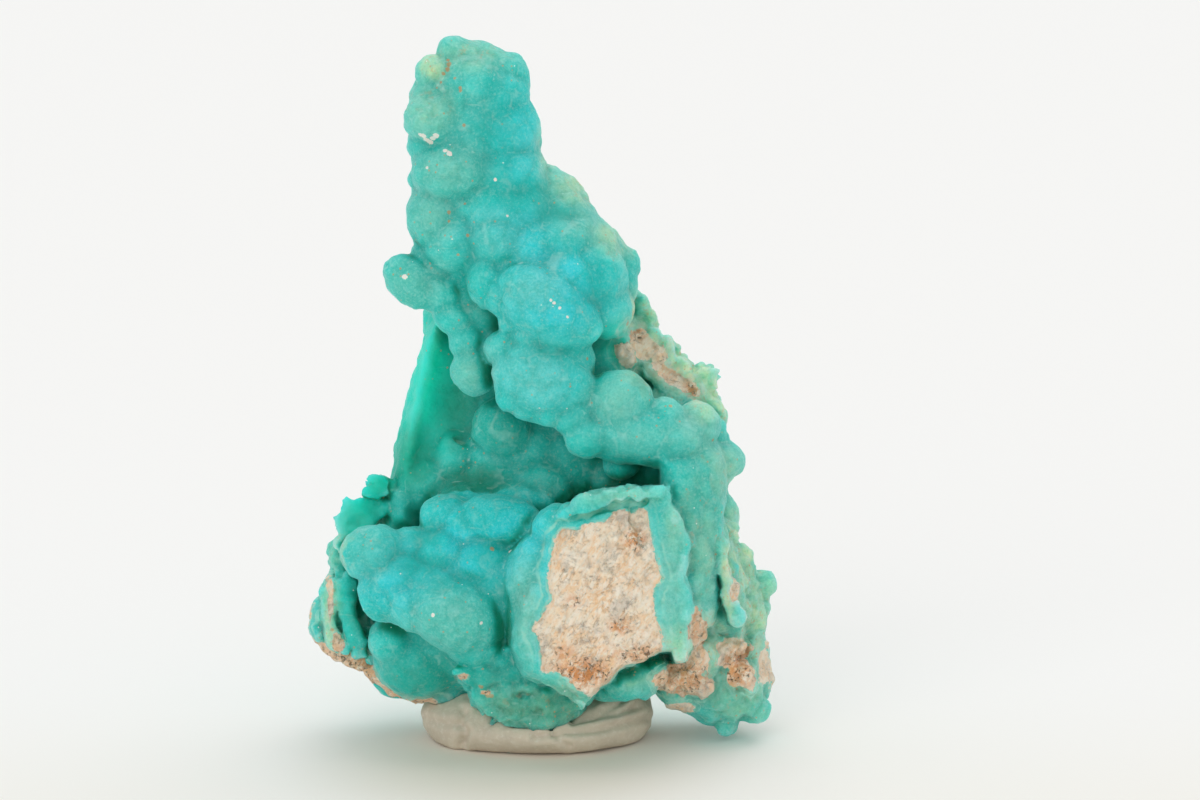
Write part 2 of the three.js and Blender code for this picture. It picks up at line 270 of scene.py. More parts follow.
RECESS = [
    [-9.4, 30.6, 0.6, 2.6, 3.6, 2.6, 0],
    [-4.2, 34.4, -0.4, 3.4, 3.6, 3.0, 5],
    [-5.4, 29.6, 0.2, 3.4, 4.2, 3.0, 0],
    [-1.0, 31.8, 0.6, 3.4, 4.2, 3.0, 0],
    [0.4, 27.8, -1.2, 3.6, 3.4, 3.2, 0],
    [4.0, 30.6, 0.4, 4.0, 4.8, 3.2, 0],
    [8.4, 28.8, 0.0, 4.0, 4.0, 3.2, 0],
    [-12.2, 28.0, 0.8, 3.6, 3.4, 3.2, 0],
    [-7.6, 26.0, -2.2, 4.2, 2.4, 3.2, 0],
    [-2.0, 26.2, -2.8, 4.2, 2.4, 3.2, 0],
    [13.0, 30.4, -0.6, 3.6, 3.4, 3.4, 0],
]

SHELF = [
    [-18.6, 20.6, -7.0, 3.5, 3.1, 3.4, 12],
    [-14.6, 20.6, -5.8, 3.8, 2.9, 3.2, 10],
    [-10.5, 24.5, -5.4, 2.8, 2.5, 2.8, 0],
    [-8.2, 23.8, -6.8, 3.0, 2.4, 3.0, 0],
    [-4.4, 24.3, -7.4, 4.7, 2.7, 3.2, -4],
    [-10.8, 20.6, -7.2, 2.9, 2.7, 3.0, 8],
    [-6.4, 19.6, -8.0, 3.8, 2.8, 3.2, 0],
    [-15.8, 17.0, -7.8, 4.0, 4.2, 3.6, -20],
    [-17.6, 15.8, -7.8, 2.6, 3.1, 2.8, 25],
    [-12.2, 16.6, -8.2, 4.2, 3.6, 3.6, 0],
    [-5.0, 17.6, -8.2, 3.6, 3.6, 3.2, 0],
    [-3.4, 15.2, -8.4, 2.4, 2.8, 2.8, 0],
]

SHELF_DOME = [
    [-9.4, 13.6, -10.4, 5.5, 4.0, 4.2, -22],
    [-13.6, 14.4, -9.4, 3.8, 2.8, 3.4, -28],
    [-7.4, 10.6, -9.6, 3.8, 2.8, 3.4, -20],
]

HEM = [
    [-13.8, 8.6, -3.2, 5.0, 4.2, 4.2, -12],
    [-16.6, 10.8, -4.6, 2.7, 2.8, 2.8, 0],
    [-10.0, 5.2, -1.6, 2.5, 2.2, 3.0, 0],
]

SHELL_BED = [
    [-22.6, 13.8, 1.4, 2.3, 4.4, 2.6, 0],
    [-21.5, 19.2, 1.0, 1.8, 3.8, 2.4, 8],
    [-20.6, 11.8, -0.2, 2.0, 3.4, 2.4, 20],
]

FLAKES = [
    [-17.8, 27.6, 1.0, 1.1, 1.3, 1.4, 20],
    [-20.0, 24.8, 0.6, 2.2, 1.3, 1.2, 18],
    [-22.4, 20.6, -0.2, 1.3, 1.4, 1.5, 30],
    [-23.1, 17.6, 0.2, 0.8, 1.1, 1.3, 0],
    [-24.6, 13.2, 0.6, 0.9, 2.8, 2.2, -4],
    [-23.0, 13.4, 0.0, 0.7, 3.4, 2.4, 4],
    [-21.7, 14.2, -1.2, 0.8, 4.0, 2.0, 8],
    [-20.8, 10.8, -1.0, 1.1, 2.4, 2.4, 20],
    [-16.4, 27.2, 0.6, 0.6, 0.7, 0.9, 0],
]

FOOT = [
    [0.0, 3.9, -8.0, 4.9, 3.1, 3.4, -4],
    [-5.2, 5.0, -7.6, 2.9, 2.4, 2.8, -25],
    [-4.4, 7.8, -8.2, 4.6, 2.4, 3.2, -6],
    [1.0, 1.9, -8.4, 1.9, 1.4, 2.2, 20],
    [4.4, 5.2, -9.0, 1.7, 1.9, 2.0, 20],
]

BLOCK_SIDE = [
    [-1.0, 18.8, -10.6, 2.8, 4.6, 3.4, -24],
    [-1.5, 12.6, -11.2, 2.2, 4.6, 3.4, 6],
    [-0.6, 9.0, -11.2, 2.4, 2.8, 3.2, 20],
    [1.8, 23.6, -10.4, 3.0, 2.4, 3.2, 20],
]

FLANK = [
    [20.6, 22.7, 0.6, 1.6, 1.7, 2.0, 0],
    [22.0, 19.6, 1.2, 1.9, 2.4, 2.4, 15],
    [24.4, 17.3, 1.8, 1.7, 1.5, 2.0, 0],
    [24.2, 14.7, 1.6, 1.5, 1.8, 2.0, 0],
    [23.4, 12.2, 1.2, 1.7, 1.6, 2.2, 0],
    [23.3, 14.8, 0.6, 2.0, 4.6, 2.8, 6],
    [23.6, 7.6, -0.2, 1.7, 4.4, 2.8, 0],
    [22.4, 16.4, 0.4, 2.0, 3.0, 2.4, 0],
    [24.4, 9.2, 0.4, 1.1, 2.2, 2.0, 0],
    [24.4, 6.0, -0.4, 1.1, 2.2, 2.0, 0],
    [20.2, 5.4, -2.8, 4.9, 4.0, 3.6, 6],
    [20.6, 2.0, -2.8, 1.6, 1.6, 2.0, 0],
    [23.7, 3.4, -2.2, 1.8, 1.9, 2.2, 0],
    [15.8, 4.9, -3.2, 3.2, 2.1, 3.0, -22],
    [17.6, 9.2, -4.6, 3.4, 3.0, 3.4, 0],
    [10.0, 6.8, -7.2, 4.6, 2.6, 4.2, 15],
    [19.9, 22.2, -3.0, 0.7, 2.0, 1.3, 0],
    [20.5, 18.8, -3.4, 0.65, 2.6, 1.3, 6],
    [21.2, 15.4, -3.4, 0.65, 2.2, 1.3, 14],
    [22.0, 13.3, -3.2, 0.75, 1.2, 1.2, 35],
]

BACK = [
    [-8.8, 73.6, 2.6, 3.0, 2.6, 2.6, 0],
    [-5.2, 71.2, 3.4, 3.4, 3.2, 2.6, 0],
    [-10.2, 69.4, 3.0, 3.2, 3.0, 2.8, 0],
    [-5.8, 66.6, 4.2, 3.6, 3.4, 3.0, 10],
    [-11.0, 64.4, 2.8, 3.2, 3.0, 2.8, 0],
    [-2.8, 63.0, 3.8, 3.4, 3.2, 3.0, 0],
    [-7.6, 61.2, 5.0, 3.8, 3.2, 3.0, 0],
    [1.0, 58.8, 4.6, 3.6, 3.0, 3.0, -30],
    [-10.8, 57.8, 3.8, 3.0, 3.4, 2.8, 0],
    [-4.2, 57.0, 6.2, 4.2, 3.4, 3.0, 0],
    [4.8, 55.0, 5.0, 3.4, 3.0, 3.0, -20],
    [-10.0, 53.0, 4.4, 3.4, 3.0, 3.0, 0],
    [-1.0, 52.2, 7.0, 4.0, 3.6, 3.0, 0],
    [7.4, 50.6, 4.8, 2.8, 3.2, 2.8, 0],
    [3.6, 48.6, 7.4, 3.8, 3.4, 3.0, 0],
    [-5.8, 48.4, 7.2, 4.0, 3.4, 3.2, 0],
    [-10.4, 46.8, 6.0, 2.6, 3.4, 2.8, 0],
    [8.6, 45.2, 7.0, 3.4, 3.2, 2.8, 0],
    [-1.0, 44.2, 9.0, 4.2, 3.6, 3.2, 0],
    [-8.8, 42.4, 7.6, 3.4, 3.4, 3.0, 0],
    [4.6, 42.6, 9.4, 3.6, 3.2, 2.8, 0],
    [12.4, 40.2, 6.4, 3.0, 3.2, 2.6, 0],
    [9.2, 38.6, 9.2, 3.8, 3.4, 3.0, 0],
    [-4.6, 38.4, 9.8, 4.0, 3.6, 3.0, 0],
    [-10.8, 37.0, 7.6, 3.2, 3.8, 3.0, 0],
    [1.6, 37.0, 11.0, 3.8, 3.4, 3.0, 0],
    [16.2, 34.8, 5.4, 3.0, 3.2, 2.8, 0],
    [13.0, 33.2, 9.4, 3.6, 3.4, 2.8, 0],
    [6.6, 32.6, 11.2, 3.8, 3.4, 2.8, 0],
    [-8.0, 32.2, 9.8, 4.0, 3.6, 3.0, 0],
    [-1.8, 31.2, 11.6, 3.8, 3.4, 2.8, 0],
    [-13.0, 31.2, 7.0, 3.0, 3.4, 3.0, 0],
    [19.0, 30.0, 3.6, 2.8, 3.0, 2.8, 0],
    [17.4, 28.0, 7.4, 3.4, 3.4, 3.0, 0],
    [19.6, 24.4, 5.4, 2.8, 3.0, 2.8, 0],
    [19.8, 18.6, 7.2, 3.4, 3.6, 3.2, 0],
    [20.6, 12.4, 6.6, 3.2, 3.6, 3.2, 0],
    [19.6, 7.2, 4.6, 3.2, 3.0, 3.2, 0],
    [-13.8, 25.6, 7.0, 3.6, 3.4, 3.2, 0],
    [-17.2, 21.8, 3.6, 3.0, 3.2, 3.2, 0],
    [-16.0, 18.2, 7.6, 3.8, 3.8, 3.2, 0],
    [-19.4, 15.6, 4.2, 3.2, 3.6, 3.2, 0],
    [-17.4, 10.8, 6.2, 3.6, 3.4, 3.2, 0],
    [-15.6, 7.2, 2.4, 3.4, 2.8, 3.2, 0],
]

# The domes whose outlines stay crisp: laid over the joined lobes.
DOMES = [
    [-12.1, 68.8, -2.7, 3.0, 2.9, 2.7, 0],
    [-10.0, 63.0, -2.9, 4.3, 3.4, 3.6, 5],
    [-11.8, 58.0, -2.1, 3.1, 3.7, 3.3, 0],
    [-9.5, 75.9, 0.0, 2.0, 2.0, 2.1, 0],
    [-4.7, 55.2, -3.9, 3.4, 3.5, 3.4, 0],
    [2.4, 54.6, -3.9, 3.5, 3.7, 3.4, 25],
    [0.8, 47.8, -7.0, 6.3, 4.2, 4.2, -36],
    [8.8, 37.4, -6.8, 3.8, 3.6, 3.5, 0],
    [13.8, 35.5, -6.6, 2.3, 2.3, 2.7, 0],
    [17.5, 34.8, -5.1, 2.6, 2.6, 2.9, 0],
    [-14.0, 50.6, -2.6, 3.7, 2.65, 2.65, -38],
    [-7.5, 40.7, -4.0, 2.45, 2.75, 2.4, 25],
    [-18.6, 20.7, -7.1, 3.6, 3.15, 3.45, 12],
    [-10.5, 24.6, -5.5, 2.9, 2.55, 2.85, 0],
    [-4.4, 24.3, -7.5, 4.8, 2.75, 3.25, -4],
    [-10.8, 20.7, -7.3, 3.0, 2.75, 3.05, 8],
    [-9.4, 13.6, -10.5, 5.6, 4.05, 4.25, -22],
    [-4.2, 34.4, -0.5, 3.45, 3.65, 3.05, 5],
    [20.2, 30.9, -2.5, 2.7, 2.15, 3.1, -10],
]

# Lumps of bare rock that stand out of the crust.
ROCK_LUMPS = [
    [9.5, 42.5, 0.0, 1.0, 1.5, 1.4, 25],
    [10.0, 41.8, 0.0, 0.8, 0.9, 1.2, 0],
    [14.2, 6.7, -6.2, 2.0, 1.4, 2.2, -8],
    [17.0, 6.2, -6.0, 2.2, 1.4, 2.2, -14],
    [21.2, 10.0, -4.9, 1.9, 1.1, 1.8, -16],
    [22.5, 7.0, -4.8, 1.5, 1.8, 1.9, 25],
    [20.4, 8.6, -4.6, 1.2, 1.0, 1.4, 0],
    [17.5, 12.2, -8.6, 0.9, 2.2, 1.4, -14],
    [17.2, 9.8, -7.2, 0.8, 1.4, 1.4, 0],
    [21.6, 16.2, -7.0, 0.5, 1.2, 1.2, 0],
    [24.9, 7.6, -0.6, 0.9, 3.0, 1.4, 0],
    [-24.9, 14.6, 0.0, 0.5, 1.3, 1.0, -30],
]

# Where the rock shows as a rim under the crust: across, up, depth along a line, and radius.
ROCK_RIMS = [
    ([[-24.4, 11.0, -0.4], [-22.4, 9.6, -1.2], [-20.2, 8.5, -2.4], [-18.4, 6.4, -3.4]], 0.7),
    ([[-18.4, 6.4, -3.4], [-16.4, 5.2, -3.4], [-13.6, 4.3, -3.6], [-11.0, 4.2, -3.4]], 0.5),
    ([[-25.2, 14.6, 0.2], [-25.2, 12.2, 0.2], [-24.4, 11.0, -0.4]], 0.5),
]

# ---- outlines on the front elevation: across, up ----

BLOCK_OUTLINE = [
    [14.0, 28.0], [15.0, 25.6], [16.0, 23.5], [16.8, 21.8], [16.6, 19.9], [16.2, 17.6],
    [16.8, 16.0], [17.0, 14.4], [16.6, 12.5], [16.8, 10.2], [16.2, 8.7], [15.1, 8.3],
    [14.6, 9.6], [13.4, 9.6], [12.3, 9.1], [10.4, 8.2], [8.8, 7.6], [7.6, 6.3], [5.6, 4.7],
    [4.5, 4.6], [0.4, 6.3], [-1.8, 7.3],
    [-3.2, 9.9], [-3.4, 11.8], [-1.8, 17.0], [-0.8, 19.8], [1.0, 22.8], [2.2, 25.0],
    [4.4, 26.9], [9.3, 27.9],
]

ROCK_OUTLINE = [
    [1.5, 22.3], [2.6, 23.2], [4.3, 23.2], [5.0, 23.9], [7.0, 24.0], [8.5, 25.3], [9.8, 25.2],
    [10.6, 24.6], [11.1, 25.4], [11.8, 25.3], [12.2, 23.2], [12.6, 21.4], [12.9, 19.9],
    [13.7, 17.8], [12.8, 16.5], [12.7, 15.0], [13.0, 13.0], [13.6, 11.0], [13.4, 8.8],
    [12.2, 8.4], [10.4, 7.6], [9.0, 7.0], [7.8, 5.6], [5.8, 4.4], [4.2, 5.3], [3.0, 6.8],
    [1.8, 7.3], [0.3, 7.2],
    [0.2, 9.0], [-0.3, 11.0], [-1.0, 12.3], [0.0, 13.5], [1.3, 15.5], [1.0, 17.0], [0.8, 18.0],
    [1.2, 20.0],
]

BAND_OUTLINE = [
    [10.2, 45.2], [11.2, 45.4], [13.8, 43.8], [14.3, 41.5], [15.5, 40.5], [17.5, 38.2],
    [16.5, 38.3], [14.5, 39.5], [13.2, 40.5], [12.4, 42.0], [11.0, 42.8], [10.2, 43.8],
]

# Grooves and gaps cut into the crust: two ends (across, up, depth), radius, softness.
TROUGH = ([-7.8, 44.0, -4.0], [-10.6, 27.0, -4.8], 5.9, 0.7)
GROOVES = [
    ([3.6, 24.3, -13.6], [8.2, 25.7, -13.2], 0.45, 0.3),
    ([8.2, 25.7, -13.2], [11.4, 26.3, -13.0], 0.5, 0.3),
    ([10.5, 25.2, -12.9], [11.4, 21.8, -13.5], 0.7, 0.3),
    ([-6.6, 21.8, -11.2], [-4.2, 21.3, -10.9], 0.35, 0.5),
    ([-9.2, 36.6, 0.0], [-8.7, 33.4, 0.0], 0.8, 0.6),
    ([-19.5, 15.4, -7.0], [-19.0, 13.4, -1.0], 1.3, 0.5),
    ([-24.5, 15.2, -2.4], [-24.4, 11.4, -2.4], 0.35, 0.3),
    ([-22.1, 14.6, -3.8], [-21.4, 11.8, -4.0], 0.4, 0.3),
    ([-20.5, 26.6, -3.0], [-20.9, 23.0, -3.6], 0.2, 0.3),
]

# Flat plates: outline on the elevation, depth of the face at its middle, thickness, lean of
# the face across and up, rounding and raggedness. First the column below the right end, then
# the broken plates and flakes of the crust, then the plates along the block's edge.
COLUMN = [
    ([[13.6, 31.0], [19.6, 31.0], [20.4, 28.6], [20.0, 25.0], [19.6, 21.0], [19.7, 17.0],
      [20.0, 14.4], [19.2, 12.6], [16.6, 11.6], [15.0, 14.0], [14.4, 20.0], [13.6, 26.0]],
     -10.0, 7.0, 0.40, -0.10, 2.0, 0.1),
]
CRUST_SLABS = [
    ([[9.6, 47.6], [10.0, 49.4], [10.9, 49.4], [11.9, 48.4], [12.7, 47.3], [12.4, 46.4],
      [12.8, 45.7], [13.7, 44.9], [14.6, 44.5], [15.2, 43.6], [15.4, 42.8], [16.2, 42.0],
      [16.7, 41.2], [17.2, 40.9], [17.9, 41.5], [18.9, 41.4], [19.6, 40.8], [19.6, 40.0],
      [19.2, 39.3], [19.5, 38.2], [19.7, 37.2], [20.4, 36.1], [20.5, 34.9], [19.9, 34.0],
      [17.6, 33.6], [15.4, 35.8], [12.6, 39.4], [10.6, 42.4], [9.4, 44.6]],
     0.9, 3.4, -0.10, 0.12, 0.3, 0.55),
    ([[-22.9, 24.6], [-22.2, 25.4], [-21.5, 26.6], [-19.2, 26.9], [-16.8, 26.4], [-16.7, 25.4],
      [-18.4, 23.5], [-20.3, 22.4], [-22.0, 20.6], [-22.9, 21.4], [-22.6, 23.2]],
     -2.4, 1.2, 0.20, 0.26, 0.12, 0.3),
    ([[-19.6, 27.0], [-19.2, 28.4], [-18.2, 29.4], [-16.8, 29.4], [-16.5, 28.3], [-17.2, 26.9],
      [-18.4, 26.5]],
     -1.6, 1.8, 0.1, 0.1, 0.2, 0.5),
    ([[-23.5, 19.9], [-22.5, 21.6], [-21.0, 21.4], [-20.7, 19.4], [-21.9, 18.2], [-23.1, 17.6]],
     -1.6, 1.5, 0.1, 0.1, 0.35, 0.35),
    ([[-25.4, 12.3], [-25.0, 14.1], [-24.2, 15.6], [-23.7, 15.6], [-24.1, 13.8], [-24.3, 12.0],
      [-23.8, 10.6], [-24.8, 10.8]],
     -1.6, 3.0, 0.0, 0.0, 0.25, 0.2),
    ([[-24.3, 16.6], [-23.0, 17.6], [-22.4, 16.0], [-22.5, 13.4], [-22.2, 11.4], [-21.4, 9.6],
      [-22.6, 9.4], [-23.8, 10.8], [-24.3, 12.8]],
     -3.4, 3.0, 0.0, 0.0, 0.3, 0.35),
    ([[-22.7, 17.6], [-21.2, 18.8], [-20.4, 17.0], [-20.6, 14.8], [-19.8, 12.8], [-19.1, 10.8],
      [-19.3, 8.9], [-20.4, 9.0], [-21.6, 11.2], [-22.3, 13.8]],
     -3.6, 3.8, 0.0, -0.05, 0.35, 0.3),
    ([[19.2, 24.0], [20.0, 24.1], [20.6, 21.0], [21.1, 18.0], [21.7, 15.4], [22.6, 13.5],
      [22.1, 12.4], [21.1, 12.7], [20.3, 15.0], [19.8, 18.6], [19.3, 21.6]],
     -8.8, 4.4, 0.1, -0.06, 0.35, 0.3),
    ([[-9.3, 7.4], [-8.2, 6.1], [-7.0, 4.6], [-6.2, 3.1], [-5.2, 1.8], [-3.6, 1.5], [-2.2, 0.9],
      [-0.6, 0.7], [0.6, 1.1], [1.6, 0.9], [2.4, 1.9], [3.6, 2.8], [4.8, 3.4], [5.6, 4.8],
      [5.4, 6.6], [2.0, 8.6], [-3.0, 9.6], [-7.4, 9.2]],
     -10.9, 5.0, 0.05, -0.30, 0.5, 0.8),
]
BLOCK_SLABS = [
    ([[1.4, 24.4], [2.6, 25.6], [4.2, 26.8], [5.4, 26.7], [6.6, 27.3], [9.2, 27.9], [10.8, 27.6],
      [12.4, 28.0], [14.3, 27.8], [13.4, 26.9], [11.6, 26.8], [9.8, 26.6], [8.4, 26.3],
      [7.2, 25.5], [5.6, 25.4], [4.0, 24.9], [3.0, 24.2]],
     -14.1, 3.0, 0.0, -0.05, 0.15, 0.5),
    ([[0.6, 6.6], [1.6, 7.6], [3.0, 6.4], [4.6, 5.2], [5.6, 4.6], [4.8, 3.4], [3.4, 4.4],
      [2.0, 5.2]],
     -15.6, 2.2, 0.05, 0.1, 0.15, 0.3),
]

# Bubbles: spacing, least and most radius, least and most share that stands out, softness,
# and the depth behind which they grow.
BUBBLES = [
    (4.0, 1.6, 3.4, 0.10, 0.34, 0.6, 7.0),
    (3.6, 1.2, 2.0, 0.02, 0.06, 0.25, -20.0),
    (2.6, 0.7, 1.2, 0.02, 0.06, 0.15, -20.0),
]

# Caps that the crust's skin is made of: size, reach over size, and seed; and their heights.
CAPS = [
    (2.8, 0.85, 51),
    (1.3, 0.85, 57),
]
CAP_HEIGHTS = (0.26, 0.19)
RAG = 0.40               # how ragged the skin is in the ragged patches
PATCH_FALL = (1.2, 1.5)  # how steeply a patch fades: factor and power

# Soft patches: across, up, their two reaches, strength, least and most depth. First where the
# skin is ragged.
RAGGED = [
    [13.0, 43.6, 5.6, 6.4, 1.0, -4.0, 20.0],
    [18.6, 38.0, 3.0, 5.4, 1.0, -4.0, 20.0],
    [22.8, 18.0, 4.4, 8.0, 0.9, -9.0, 20.0],
    [22.0, 6.0, 6.0, 6.0, 0.7, -9.0, 20.0],
    [14.0, 6.0, 6.0, 2.6, 0.8, -9.0, 20.0],
    [-19.4, 25.4, 4.6, 5.0, 0.9, -4.0, 20.0],
    [-23.0, 17.0, 3.6, 9.0, 0.8, -5.0, 20.0],
    [-3.0, 3.6, 9.0, 4.0, 0.8, -20.0, 20.0],
    [8.0, 26.6, 8.0, 1.8, 0.8, -20.0, 0.0],
    [-1.2, 12.0, 1.6, 7.0, 0.5, -20.0, -9.0],
    [15.6, 17.0, 1.8, 9.0, 0.5, -20.0, -9.0],
    [-16.0, 38.0, 2.4, 9.0, 0.4, -4.0, 20.0],
    [4.6, 60.6, 5.6, 2.6, 0.5, -20.0, 20.0],
    [0.6, 66.0, 1.8, 5.0, 0.5, -20.0, 20.0],
    [9.4, 55.0, 3.2, 2.6, 0.5, -20.0, 20.0],
    [-10.0, 74.6, 3.4, 2.6, 0.4, -20.0, 20.0],
]

# Patches where rock shows flush with the crust.
ROCK_PATCHES = [
    [15.4, 6.4, 3.4, 2.1, 1.0, -20.0, 4.0],
    [17.6, 8.8, 1.5, 2.2, 1.0, -20.0, 4.0],
    [17.4, 12.0, 1.3, 2.7, 1.0, -20.0, 4.0],
    [21.4, 9.9, 2.3, 1.4, 1.0, -20.0, 4.0],
    [20.5, 8.6, 1.2, 1.1, 0.9, -20.0, 4.0],
    [22.4, 7.0, 1.8, 2.1, 1.0, -20.0, 4.0],
    [24.9, 7.6, 0.8, 3.0, 0.85, -20.0, 4.0],
    [15.6, 3.4, 2.2, 0.7, 0.9, -20.0, 4.0],
    [-8.7, 6.8, 1.0, 0.5, 0.75, -20.0, 0.0],
    [-5.9, 5.0, 1.0, 0.4, 0.8, -20.0, 0.0],
    [-23.3, 15.4, 0.5, 3.2, 0.95, -20.0, 6.0],
    [-22.4, 10.8, 0.9, 1.6, 0.85, -20.0, 6.0],
    [21.6, 16.2, 0.6, 1.3, 1.0, -20.0, 4.0],
]

# Patches of colour on the crust: clear green, pale green, blue, teal, pearly and deep green; the
# teal and deep green ones are painted shade.
JADE = [
    [-12.0, 40.0, 4.4, 8.6, 1.0, -3.2, 9.0],
    [-14.6, 33.0, 3.6, 5.0, 0.9, -3.6, 9.0],
    [-10.4, 45.6, 3.4, 3.0, 0.7, -1.0, 9.0],
    [-20.0, 24.6, 3.8, 3.2, 0.85, -3.4, 6.0],
    [-18.0, 28.2, 2.2, 2.0, 0.8, -3.4, 6.0],
    [-21.4, 14.4, 2.4, 4.4, 0.35, -4.6, 4.0],
    [8.8, 43.6, 2.6, 2.6, 0.6, -9.0, 4.0],
]
PALE = [
    [14.0, 43.0, 5.0, 5.0, 0.9, -9.0, 20.0],
    [18.6, 38.6, 2.6, 3.2, 1.0, -9.0, 20.0],
    [19.4, 29.0, 4.0, 4.0, 0.5, -9.0, 20.0],
    [22.0, 19.6, 4.0, 7.0, 0.9, -4.2, 20.0],
    [20.8, 17.6, 1.0, 6.4, 1.0, -12.0, -3.0],
    [14.2, 42.4, 5.0, 5.0, 1.0, -4.0, 20.0],
    [12.0, 46.6, 3.4, 3.4, 1.0, -4.0, 20.0],
    [17.0, 40.4, 4.0, 3.0, 1.0, -4.0, 20.0],
    [20.4, 37.0, 1.4, 3.0, 0.9, -2.0, 20.0],
    [18.0, 22.0, 3.0, 9.0, 0.45, -12.5, 20.0],
    [24.0, 14.0, 3.4, 6.0, 0.9, -9.0, 20.0],
    [22.6, 4.6, 4.6, 4.6, 0.45, -9.0, 20.0],
    [-11.8, 74.6, 1.9, 1.9, 1.0, -9.0, 20.0],
    [-8.0, 76.0, 5.0, 2.2, 0.5, -9.0, 20.0],
    [-12.0, 70.6, 3.2, 3.0, 0.35, -9.0, 20.0],
    [1.0, 65.6, 1.3, 4.2, 0.6, -9.0, 20.0],
    [4.2, 61.2, 3.4, 2.2, 0.8, -9.0, 20.0],
    [9.0, 55.4, 3.2, 2.2, 0.7, -9.0, 20.0],
    [9.0, 27.4, 6.4, 1.5, 0.25, -20.0, 0.0],
    [15.4, 24.4, 1.6, 3.4, 0.4, -20.0, 0.0],
    [-22.4, 20.6, 2.0, 2.6, 0.6, -9.0, 20.0],
    [-23.2, 13.6, 1.1, 4.8, 1.0, -9.0, 20.0],
    [0.0, 3.4, 7.0, 3.0, 0.5, -20.0, 0.0],
    [2.6, 4.6, 2.4, 2.0, 0.6, -20.0, 0.0],
    [9.8, 7.0, 4.2, 1.9, 0.4, -20.0, 0.0],
    [19.4, 11.0, 2.2, 4.0, 0.8, -20.0, 0.0],
    [16.6, 8.0, 4.6, 4.6, 0.7, -20.0, 4.0],
    [22.4, 8.8, 3.4, 4.0, 0.8, -20.0, 4.0],
    [-4.0, 60.0, 9.0, 16.0, 0.45, 4.0, 20.0],
    [2.0, 30.0, 22.0, 16.0, 0.4, 6.0, 20.0],
]
BLUE = [
    [1.6, 49.6, 6.6, 6.0, 0.9, -20.0, 2.0],
    [-2.6, 56.0, 6.0, 4.0, 0.6, -20.0, 2.0],
    [-6.0, 21.6, 9.0, 5.4, 0.9, -20.0, 2.0],
    [-16.0, 18.0, 6.0, 5.0, 0.7, -20.0, 2.0],
    [-0.6, 40.0, 5.6, 4.6, 0.5, -20.0, 2.0],
    [-2.6, 66.0, 3.4, 7.0, 0.5, -20.0, 2.0],
    [0.6, 18.0, 2.6, 8.0, 0.5, -20.0, 0.0],
]
# Painted shade: teal in shallow hollows and under overhangs of the crust.
TEAL_SHADE = [
    [17.2, 25.0, 2.6, 6.5, 0.45, -20.0, 6.0],
    [-13.8, 19.4, 4.4, 2.0, 0.9, -20.0, 2.0],
    [-12.4, 22.3, 2.6, 1.6, 0.9, -20.0, 2.0],
    [-6.0, 20.6, 3.6, 1.8, 0.8, -20.0, 2.0],
    [-8.6, 17.4, 4.6, 1.4, 0.6, -20.0, 2.0],
    [-7.4, 24.4, 3.6, 1.6, 0.5, -20.0, 2.0],
    [1.7, 58.4, 3.2, 1.5, 0.9, -20.0, 2.0],
    [5.8, 50.0, 2.4, 3.6, 0.6, -20.0, 2.0],
    [-4.4, 66.0, 2.6, 7.4, 0.6, -20.0, 2.0],
    [-2.0, 60.4, 4.2, 3.0, 0.6, -20.0, 2.0],
    [-8.0, 53.4, 1.8, 3.6, 0.6, -20.0, 2.0],
    [4.0, 35.6, 2.2, 2.6, 0.5, -20.0, 2.0],
    [6.6, 32.0, 3.6, 1.5, 0.7, -20.0, 2.0],
    [12.4, 32.0, 4.6, 1.2, 0.5, -20.0, 2.0],
    [-3.2, 10.0, 1.8, 5.0, 0.5, -20.0, 2.0],
    [1.8, 43.0, 3.2, 1.0, 0.7, -20.0, 2.0],
    [2.6, 45.0, 3.6, 1.2, 0.25, -20.0, 2.0],
    [-7.0, 44.6, 1.0, 2.6, 0.5, -20.0, 2.0],
    [-13.0, 10.4, 2.0, 1.0, 0.5, -20.0, 2.0],
]

PEARL = [
    [-12.6, 68.8, 3.0, 3.0, 0.7, -20.0, 20.0],
    [-10.2, 63.2, 4.4, 3.2, 0.8, -20.0, 20.0],
    [-12.2, 58.4, 3.2, 3.6, 0.7, -20.0, 20.0],
    [-14.0, 50.6, 4.0, 3.4, 0.6, -20.0, 20.0],
    [-7.4, 40.7, 2.8, 3.0, 0.9, -20.0, 20.0],
    [-5.0, 55.6, 3.2, 3.2, 0.3, -20.0, 20.0],
    [5.4, 58.4, 4.8, 3.2, 0.9, -20.0, 20.0],
    [-0.6, 50.0, 3.8, 2.6, 0.5, -20.0, 20.0],
    [-1.0, 40.4, 4.4, 4.0, 0.4, -20.0, 20.0],
    [8.4, 37.4, 3.6, 3.2, 0.8, -20.0, 20.0],
    [17.6, 35.2, 3.0, 2.8, 0.9, -20.0, 20.0],
    [12.0, 33.0, 7.0, 2.6, 0.4, -20.0, 20.0],
    [21.0, 30.8, 2.0, 2.0, 0.7, -20.0, 20.0],
    [-18.8, 20.8, 3.2, 3.0, 0.4, -20.0, 20.0],
    [-9.6, 13.4, 5.4, 4.0, 0.6, -20.0, 20.0],
    [-1.8, 14.4, 2.2, 6.4, 0.9, -20.0, 0.0],
    [9.6, 7.2, 4.6, 2.0, 0.7, -20.0, 0.0],
    [15.0, 17.4, 2.0, 8.0, 0.7, -20.0, 0.0],
    [8.0, 26.8, 6.6, 1.4, 0.5, -20.0, 0.0],
]
